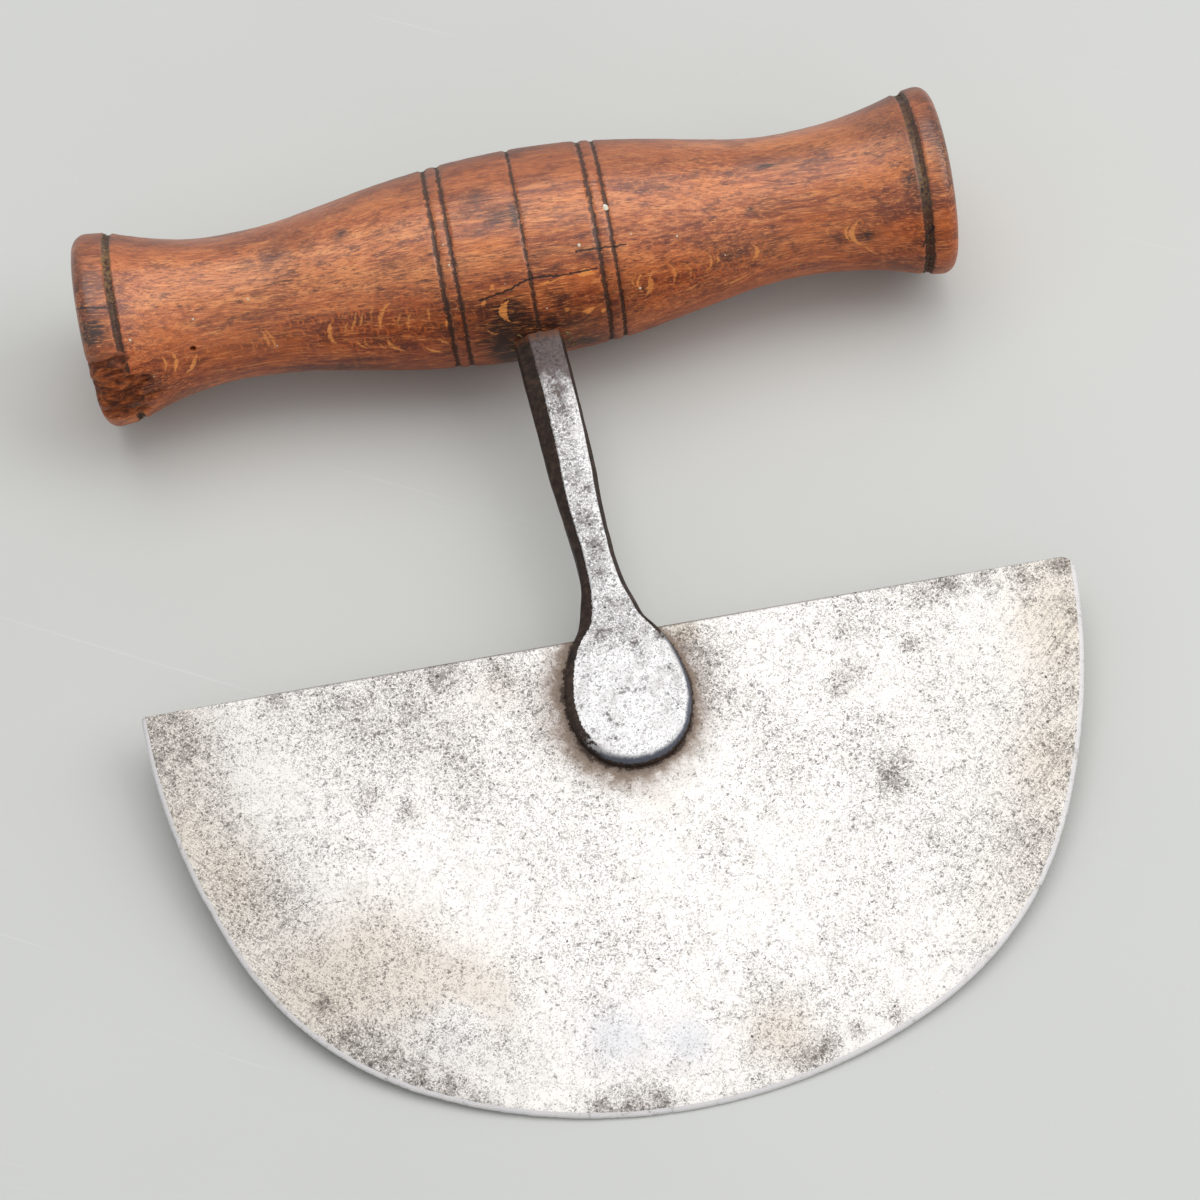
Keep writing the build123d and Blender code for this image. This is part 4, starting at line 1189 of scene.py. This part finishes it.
off.append(np.full(len(TANG_STEPS) * TANG_SIDES, 0.9))
shank_points, off = np.concatenate(shank_points), np.concatenate(off)
shank_faces = [face for group in shank_faces for face in group.tolist()]
print("tang rings", len(TANG_STEPS))

# %% [markdown]
# The forge scale stops at the face's edge. On the palm it keeps to the left side and to the foot of
# the rolled rim, which hands have polished. The mottling follows the middle of the stem's face.

# %% Shank piece
def scale_cover(points, off):
    """How much forge scale is left: all over the chamfers, less round the palm's tip and right side."""
    drop, side = -points[:, 1], points[:, 0]
    stem = eased(off, 0.0, 0.12)
    foot = eased(off, 0.50, 0.90)
    tip = eased(drop - 6.5 * eased(-side, 0, 4), 84, 97)
    palm = np.clip(tip + eased(side, 2, 9) * eased(drop, 78, 84), 0, 1)
    return stem + (foot - stem) * palm, palm * np.clip(off, 0, 0.8)


FACE_MARKS = [  # place in the photograph, reach in millimetres, strength
    (557, 390, 2.2, 0.5), (564, 410, 1.8, 0.7), (566, 434, 1.6, 0.25), (577, 477, 1.6, 0.25),
    (588, 489, 0.8, 0.9), (585, 518, 2.2, 0.4), (598, 548, 2.2, 0.4), (596, 574, 2.0, 0.3),
    (603, 598, 2.2, 0.5), (620, 600, 1.6, 0.5), (634, 644, 1.1, 0.9), (659, 636, 1.0, 0.9),
    (670, 667, 1.0, 0.8), (642, 656, 1.2, 0.6), (601, 633, 1.3, 0.7), (581, 707, 0.5, 1.0),
    (646, 678, 0.5, 1.1), (615, 738, 0.45, 1.1), (593, 730, 0.45, 0.9), (620, 690, 0.5, 0.8),
    (627, 688, 0.5, 0.9), (636, 689, 0.5, 0.9), (643, 690, 0.5, 0.8), (607, 714, 0.45, 1.1),
    (609, 720, 0.45, 1.1), (615, 724, 0.45, 1.0), (622, 724, 0.45, 0.9), (617, 678, 0.5, 0.7),
    (676, 700, 1.5, 0.35), (590, 680, 1.5, 0.3)]


def mottle_cover(points):
    """How thick the pitting lies: down the middle of the stem, over the neck, thin on the palm."""
    drop, side = -points[:, 1], np.abs(points[:, 0])
    stem = (1 - 0.8 * eased(side, 0.9, 3.0)) * (1 - eased(drop, 66, 72))
    neck = np.exp(-((drop - 77) / 4.6) ** 4) * (1 - 0.3 * eased(side, 5, 9))
    marks = soft_spots(leaned(points)[:, :2], FACE_MARKS, 3.3)
    return np.clip(0.55 * stem + 0.55 * neck + 0.14, 0, 1) + marks


UNDER_THE_WOOD = 17  # the drop at which the shank comes out of the handle
forging = chatter(41, 18, 0.05, 4, 22)
(scale_values, rolled_values), mottle_values = scale_cover(shank_points, off), mottle_cover(shank_points)
hammered = forging(shank_points) * (shank_points[:, 1] < -UNDER_THE_WOOD)
shank_points = shank_points + hammered[:, None] * np.array((0.8, 0, 0.6))
shank = make_piece("shank_forged", leaned(shank_points), shank_faces, forged.material,
                   {"scale": scale_values, "mottle": mottle_values, "rolled": rolled_values})
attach(shank, "root")
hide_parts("shank")

# %% [markdown]
# ## The blade's stains, and a painted shadow round the palm
# Old rust hides where a cloth doesn't reach: in the spine's corners, along the edge, and in a halo
# round the palm, where water stood. The halo is also a painted contact shadow, so it is thicker on the
# side that the photograph shows dark, where the palm's shadow falls.

# %% The blade's stains
CLOUDS = [  # place in the photograph, reach in millimetres, strength
    (172, 752, 7, 0.8), (160, 722, 5, 0.5), (196, 800, 8, 0.3), (222, 862, 8, 0.1), (255, 925, 8, 0.15),
    (287, 900, 8, 0.3), (300, 970, 7, 0.4), (341, 1041, 2.2, 1.3), (325, 1003, 1.6, 1.0), (372, 1062, 5, 0.5),
    (417, 1076, 3.4, 0.9), (448, 1091, 2.6, 1.2), (475, 1100, 1.8, 1.0), (492, 1104, 1.5, 1.0),
    (601, 1109, 2.4, 1.1), (639, 1106, 3.2, 1.4), (662, 1103, 2.0, 1.0), (806, 1058, 2.4, 1.3),
    (829, 1044, 2.2, 1.2), (857, 1030, 1.6, 1.0), (897, 1014, 1.8, 0.9), (993, 951, 2.0, 0.8),
    (1050, 880, 2.4, 0.8), (1040, 905, 3.0, 0.5), (444, 674, 2.8, 0.9), (501, 670, 3.0, 0.6),
    (276, 701, 2.6, 0.6), (350, 712, 9, 0.25), (440, 720, 9, 0.30), (368, 800, 2.0, 0.8), (410, 812, 1.5, 1.2),
    (470, 780, 5, 0.3), (540, 700, 6, 0.4), (545, 745, 5, 0.3), (925, 590, 4.0, 0.6), (953, 582, 2.2, 0.7),
    (984, 579, 1.8, 0.7), (1023, 576, 1.6, 0.8), (911, 645, 2.0, 0.7), (845, 625, 3.0, 0.6),
    (850, 670, 3.0, 0.7), (838, 690, 2.0, 0.6), (1064, 561, 2.6, 1.7), (1073, 607, 2.2, 1.0),
    (1064, 696, 3.0, 0.8), (1072, 650, 6, 0.3), (1066, 770, 6, 0.4), (1046, 845, 5, 0.4), (390, 1050, 8, 0.4),
    (450, 1052, 8, 0.3), (510, 1058, 7, 0.2), (330, 1005, 8, 0.3), (300, 735, 16, 0.12), (400, 690, 14, 0.22),
    (420, 750, 12, 0.18), (640, 600, 9, 0.2), (892, 776, 2.6, 1.3), (905, 755, 1.8, 0.5), (960, 800, 10, 0.2),
    (860, 860, 12, 0.2), (700, 660, 5, 0.55), (690, 640, 4, 0.5), (720, 700, 5, 0.3), (800, 720, 12, 0.18),
    (940, 700, 12, 0.2)]
TINTS = [  # the same, with warm stains above zero and cool ones below
    (379, 961, 12, 0.9), (471, 999, 9, 0.8), (230, 880, 10, 0.6), (300, 1000, 10, 0.5), (780, 1030, 7, 0.8),
    (1060, 620, 9, 0.7), (1050, 760, 9, 0.5), (456, 1028, 5, -1.0), (616, 1037, 6, -0.8), (690, 1040, 5, -0.8),
    (990, 980, 6, -0.7), (500, 690, 5, 0.5), (683, 632, 3, 1.0), (165, 830, 6, 0.6), (660, 800, 7, 0.4)]

# %% The halo round the palm, and the blade
PALM_MIDDLE_DROP, HALO_DARK_SIDE = 90.0, math.radians(215)
palm_ring = leaned(levels[-1])[:, :2]
flat_on_tool = blade_points[:, :2]
halo = distance_to(palm_ring, flat_on_tool)
palm_middle = leaned(np.array(((0, -PALM_MIDDLE_DROP, 0),)))[0]
away = np.arctan2(flat_on_tool[:, 1] - palm_middle[1], flat_on_tool[:, 0] - palm_middle[0])
# the halo is thicker on the side where the palm's painted contact shadow falls
thick_side = 0.75 + 0.25 * np.cos(away - HALO_DARK_SIDE)
halo_value = (0.80 * np.exp(-(halo / (0.3 + 0.5 * thick_side)) ** 1.4)
              + 0.70 * thick_side * np.exp(-(halo / 4.3) ** 1.8))
ragged_rim = chatter(35, 30, 0.14, 1.2, 9)(blade_points)
blade = make_piece("blade_worn", blade_points, blade_faces, steel.material,
                   {"halo": np.clip(halo_value * (1 + ragged_rim), 0, 1.2),
                    "rim": np.concatenate((inset, inset)),
                    "tarnish": soft_spots(flat_on_tool, CLOUDS), "tint": soft_spots(flat_on_tool, TINTS)})
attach(blade, "root")
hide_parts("blade")
print("blade", [round(side * 1000, 1) for side in blade.dimensions])

# %% [markdown]
# ## The pieces kept from the CAD
# The rove lies in its seat under the tang's head, black with old iron rust. The two rivets were
# ground flush and can't be seen, but they keep the steel's finish for when the tool is taken apart.

# %% Rove and rivets
def gritty_finish(name, dark, light, shine, speck=(92, 62, 44)):
    """A cloudy finish with specks of a third colour."""
    finish = Finish(name)
    cloud, grit = finish.grain(0.9, 0.9, 6, 0.7), finish.grain(4.0, 4.0, 3, 0.6)
    finish.colour = finish.ramp(cloud, (0.34, *dark), (0.66, *light))
    finish.coat(finish.between(grit, 0.58, 0.68, 0.0, 0.6), speck)
    finish.wear(Metallic=shine, Roughness=finish.between(cloud, 0.3, 0.7, 0.45, 0.68),
                Normal=finish.relief(grit, 0.00003))
    return finish.material


for node, material in (("rove", gritty_finish("dark_iron", (38, 32, 30), (74, 66, 62), 0.4)),
                       ("palm_rivets", gritty_finish("rivet_steel", (150, 146, 143), (198, 196, 194), 0.8))):
    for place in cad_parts[node].material_slots:
        place.material = material
print("kept from the CAD", [n for n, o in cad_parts.items() if not o.hide_render])

# %% [markdown]
# ## Crumbs
# Dirt gathers in the turned grooves, rust at the foot of the palm, and polish round the top of the
# stem. They are small lumps in a row, so Geometry Nodes set them: a path or some single points come
# in, and each kept point gets a lump, turned, squashed and roughened at random. Scattering them by
# hand would take longer, and a bump map would leave the groove's outline smooth.

# %% The crumbs' tree
def crumb_tree(name, along):
    """Sets lumps along a path, or on single points, and ends as plain mesh with a material."""
    tree = bpy.data.node_groups.new(name, "GeometryNodeTree")
    socket = tree.interface.new_socket
    socket("Geometry", in_out="INPUT", socket_type="NodeSocketGeometry")
    for label, kind, value in (("Spacing", "Float", 0.0005), ("Lump Size", "Float", 0.0002),
                               ("Scatter", "Float", 0.0001), ("Left Out", "Float", 0.4),
                               ("Flatness", "Float", 0.6), ("Seed", "Int", 1)):
        socket(label, in_out="INPUT", socket_type="NodeSocket" + kind).default_value = value
    socket("Finish", in_out="INPUT", socket_type="NodeSocketMaterial")
    socket("Geometry", in_out="OUTPUT", socket_type="NodeSocketGeometry")

    def put(kind, settings=None, **inputs):
        return put_node(tree, kind, settings, **inputs)

    def chance(low, high, step):
        seed = put("ShaderNodeMath", {"operation": "ADD"}, i0=given["Seed"], i1=step)
        node = put("FunctionNodeRandomValue", {"data_type": "FLOAT"}, Seed=seed)
        node.inputs[2].default_value, node.inputs[3].default_value = low, high
        return node.outputs[1]

    def times(a, b):
        return put("ShaderNodeMath", {"operation": "MULTIPLY"}, i0=a, i1=b).outputs[0]

    given = put("NodeGroupInput").outputs
    if along:
        line = put("GeometryNodeMeshToCurve", i0=given["Geometry"])
        spots = put("GeometryNodeResampleCurve", {"mode": "LENGTH"}, Curve=line, Length=given["Spacing"])
    else:
        spots = put("GeometryNodeMeshToPoints", i0=given["Geometry"])
    left_out = put("ShaderNodeMath", {"operation": "LESS_THAN"}, i0=chance(0, 1, 1), i1=given["Left Out"])
    kept = put("GeometryNodeDeleteGeometry", {"domain": "POINT"}, i0=spots, Selection=left_out)
    aside = put("ShaderNodeCombineXYZ", i0=chance(-1, 1, 2), i1=chance(-1, 1, 3), i2=chance(-0.5, 0.5, 4))
    aside = put("ShaderNodeVectorMath", {"operation": "SCALE"}, i0=aside, Scale=given["Scatter"])
    moved = put("GeometryNodeSetPosition", Geometry=kept, Offset=aside)
    lift = put("GeometryNodeInputNamedAttribute", {"data_type": "FLOAT_VECTOR"}, Name="lift")
    upright = put("FunctionNodeAlignRotationToVector", {"axis": "Z"}, Vector=lift)
    size = put("GeometryNodeInputNamedAttribute", {"data_type": "FLOAT"}, Name="size")
    reach = times(times(given["Lump Size"], chance(0.5, 1.3, 5)), size)
    low = times(reach, given["Flatness"])
    scale = put("ShaderNodeCombineXYZ", X=reach, Y=times(reach, chance(0.55, 1.0, 6)), Z=low)
    lump = put("GeometryNodeMeshIcoSphere", Radius=1.0, Subdivisions=1 if along else 2)
    set_down = put("GeometryNodeInstanceOnPoints", Points=moved, Instance=lump,
                   Rotation=upright, Scale=scale.outputs[0])
    spin = put("ShaderNodeCombineXYZ", Z=chance(0, 6.28, 7))
    turned = put("GeometryNodeRotateInstances", Instances=set_down, Rotation=spin)
    real = put("GeometryNodeRealizeInstances", i0=turned)
    grain = put("ShaderNodeTexNoise", Scale=3600.0, Detail=1.0)
    colour = grain.outputs["Color"]
    centred = put("ShaderNodeVectorMath", {"operation": "SUBTRACT"}, i0=colour, i1=(0.5, 0.5, 0.5))
    rough = put("ShaderNodeVectorMath", {"operation": "SCALE"}, i0=centred, Scale=given["Lump Size"])
    uneven = put("GeometryNodeSetPosition", Geometry=real, Offset=rough)
    finished = put("GeometryNodeSetMaterial", Geometry=uneven, Material=given["Finish"])
    put("NodeGroupOutput", i0=finished)
    return tree


along_tree, spot_tree = crumb_tree("crumbs_along_a_path", True), crumb_tree("crumbs_on_spots", False)


def crumbs(name, tree, spots, lifts, sizes, edges, slot, finish, **inputs):
    """Runs a tree on tool-frame points and keeps the result as a plain piece that rides on the tool."""
    inputs["Finish"] = gritty_finish(name, *finish)
    path = bpy.data.meshes.new(name + "_path")
    path.from_pydata(laid(spots).tolist(), edges, [])
    lift = path.attributes.new("lift", "FLOAT_VECTOR", "POINT")
    lift.data.foreach_set("vector", (lifts @ turn_about_x(LAY_ANGLE).T).ravel())
    path.attributes.new("size", "FLOAT", "POINT").data.foreach_set("value", np.asarray(sizes, dtype=float))
    carrier = linked(name + "_path", path)
    modifier = carrier.modifiers.new("crumbs", "NODES")
    modifier.node_group = tree
    for item in tree.interface.items_tree:
        if item.in_out == "INPUT" and item.name.replace(" ", "_") in inputs:
            modifier[item.identifier] = inputs[item.name.replace(" ", "_")]
    depsgraph = bpy.context.evaluated_depsgraph_get()
    mesh = bpy.data.meshes.new_from_object(carrier.evaluated_get(depsgraph), depsgraph=depsgraph)
    carrier.modifiers.remove(modifier)
    bpy.data.objects.remove(carrier)
    mesh.name = name
    piece = linked(name, mesh)
    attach(piece, "root")
    print(name, len(mesh.polygons), "faces")

# %% [markdown]
# The dirt in a groove is a ring of lumps on its floor: two rings where the groove is wide.

# %% Dirt in the grooves
def loop_edges(count, first=0):
    return [(first + k, first + (k + 1) % count) for k in range(count)]


def handle_lift(angles):
    """The way out of the wood at each angle."""
    return np.stack((np.zeros_like(angles), np.sin(angles), np.cos(angles)), axis=-1)


ring_angles = np.linspace(0, 2 * np.pi, 181)[:-1]
ring_spots, ring_edges, ring_sizes = [], [], []
for middle, half_width, depth in GROOVES:
    for side in (-0.3, 0.25) if half_width > 0.8 else (0.0,):
        where = np.full(len(ring_angles), middle + side * half_width)
        floor_radius = handle_radius(where, ring_angles)[0] + 0.02
        ring_edges += loop_edges(len(ring_angles), len(ring_spots) * len(ring_angles))
        ring_spots.append(handle_point(where, ring_angles, floor_radius))
        lumpy = 1 + 0.6 * chatter(61, 6, 0.5, 6, 20)(ring_spots[-1])
        ring_sizes.append(np.clip(lumpy, 0.35, 1.6) * (1.0 if half_width > 0.8 else 0.55))
ring_lifts = np.tile(handle_lift(ring_angles), (len(ring_spots), 1))
crumbs("groove_dirt", along_tree, np.concatenate(ring_spots), ring_lifts, np.concatenate(ring_sizes),
       ring_edges, "turned_wood", ((44, 32, 25), (118, 92, 58), 0.0, (150, 124, 84)), Spacing=0.00055,
       Lump_Size=0.00020, Scatter=0.00014, Left_Out=0.45, Flatness=0.5, Seed=3)

# %% [markdown]
# Rust blooms where the palm meets the plate, because water creeps in there and dries last.

# %% Rust at the palm's foot
foot = [k for k, spot in enumerate(palm_ring) if spot[1] < -SPINE_DROP - 1.0]
foot_ring = palm_ring[foot]
outward = foot_ring - palm_middle[:2]
outward /= np.linalg.norm(outward, axis=1)[:, None]
foot_spots, foot_lifts, foot_edges = [], [], []
for way in (1, -1):
    first = len(foot_spots) * len(foot)
    foot_edges += [(first + k, first + k + 1) for k in range(len(foot) - 1)]
    foot_spots.append(np.column_stack((foot_ring + 0.10 * outward, np.full(len(foot), way * 0.83))))
    foot_lifts.append(np.column_stack((0.6 * outward, np.full(len(foot), way * 0.8))))
crumbs("foot_rust", along_tree, np.concatenate(foot_spots), np.concatenate(foot_lifts), np.ones(2 * len(foot)),
       foot_edges, "dark_iron", ((40, 27, 21), (86, 58, 42), 0.1, (140, 82, 44)), Spacing=0.00040,
       Lump_Size=0.00021, Scatter=0.00020, Left_Out=0.30, Flatness=0.6, Seed=11)

# %% [markdown]
# Dried polish sits in little heaps by the stem, and a few pale flecks lie on the wood. Their places
# are pixels of the photograph, found again on the worn wood.

# %% Polish by the stem, and flecks on the wood
def on_wood_surface(marks, scatter, seed, copies=1):
    """Points on the worn wood under some pixels, each with copies near it, and the way out there."""
    rng = np.random.default_rng(seed)
    where = np.repeat(np.array([on_handle(x, y) for x, y, _ in marks]), copies, axis=0)
    where = where + rng.normal(0, 1, where.shape) * np.array((scatter, scatter / ROUND))
    radius = handle_radius(where[:, 0], where[:, 1])[0]
    sizes = np.repeat([size for _, _, size in marks], copies)
    return handle_point(where[:, 0], where[:, 1], radius + 0.02), handle_lift(where[:, 1]), sizes


POLISH = [(516, 343, 1.0), (520, 336, 0.7), (571, 339, 1.2), (568, 333, 0.8), (514, 349, 0.8), (574, 344, 0.7)]
FLECKS = [(443, 245, 0.7), (449, 265, 1.3), (605, 207, 3.4), (579, 245, 1.2), (631, 234, 1.0), (611, 250, 0.9),
          (725, 255, 1.6), (547, 308, 1.4), (505, 284, 1.1), (248, 299, 1.0), (193, 319, 1.0), (130, 340, 1.1),
          (154, 377, 1.2), (456, 309, 1.0), (277, 346, 1.0), (677, 236, 0.9), (640, 288, 0.9), (736, 268, 0.8)]
spots, lifts, sizes = on_wood_surface(POLISH, 0.35, 71, copies=7)
crumbs("stem_polish", spot_tree, spots, lifts, sizes, [], "turned_wood",
       ((84, 64, 34), (150, 128, 82), 0.0, (176, 158, 112)),
       Lump_Size=0.00030, Scatter=0.00010, Left_Out=0.1, Flatness=0.6, Seed=5)
spots, lifts, sizes = on_wood_surface(FLECKS, 0.0, 72)
crumbs("pale_flecks", spot_tree, spots, lifts, sizes, [], "turned_wood",
       ((206, 198, 172), (236, 230, 212), 0.0, (220, 214, 190)),
       Lump_Size=0.00020, Scatter=0.0, Left_Out=0.0, Flatness=0.35, Seed=8)
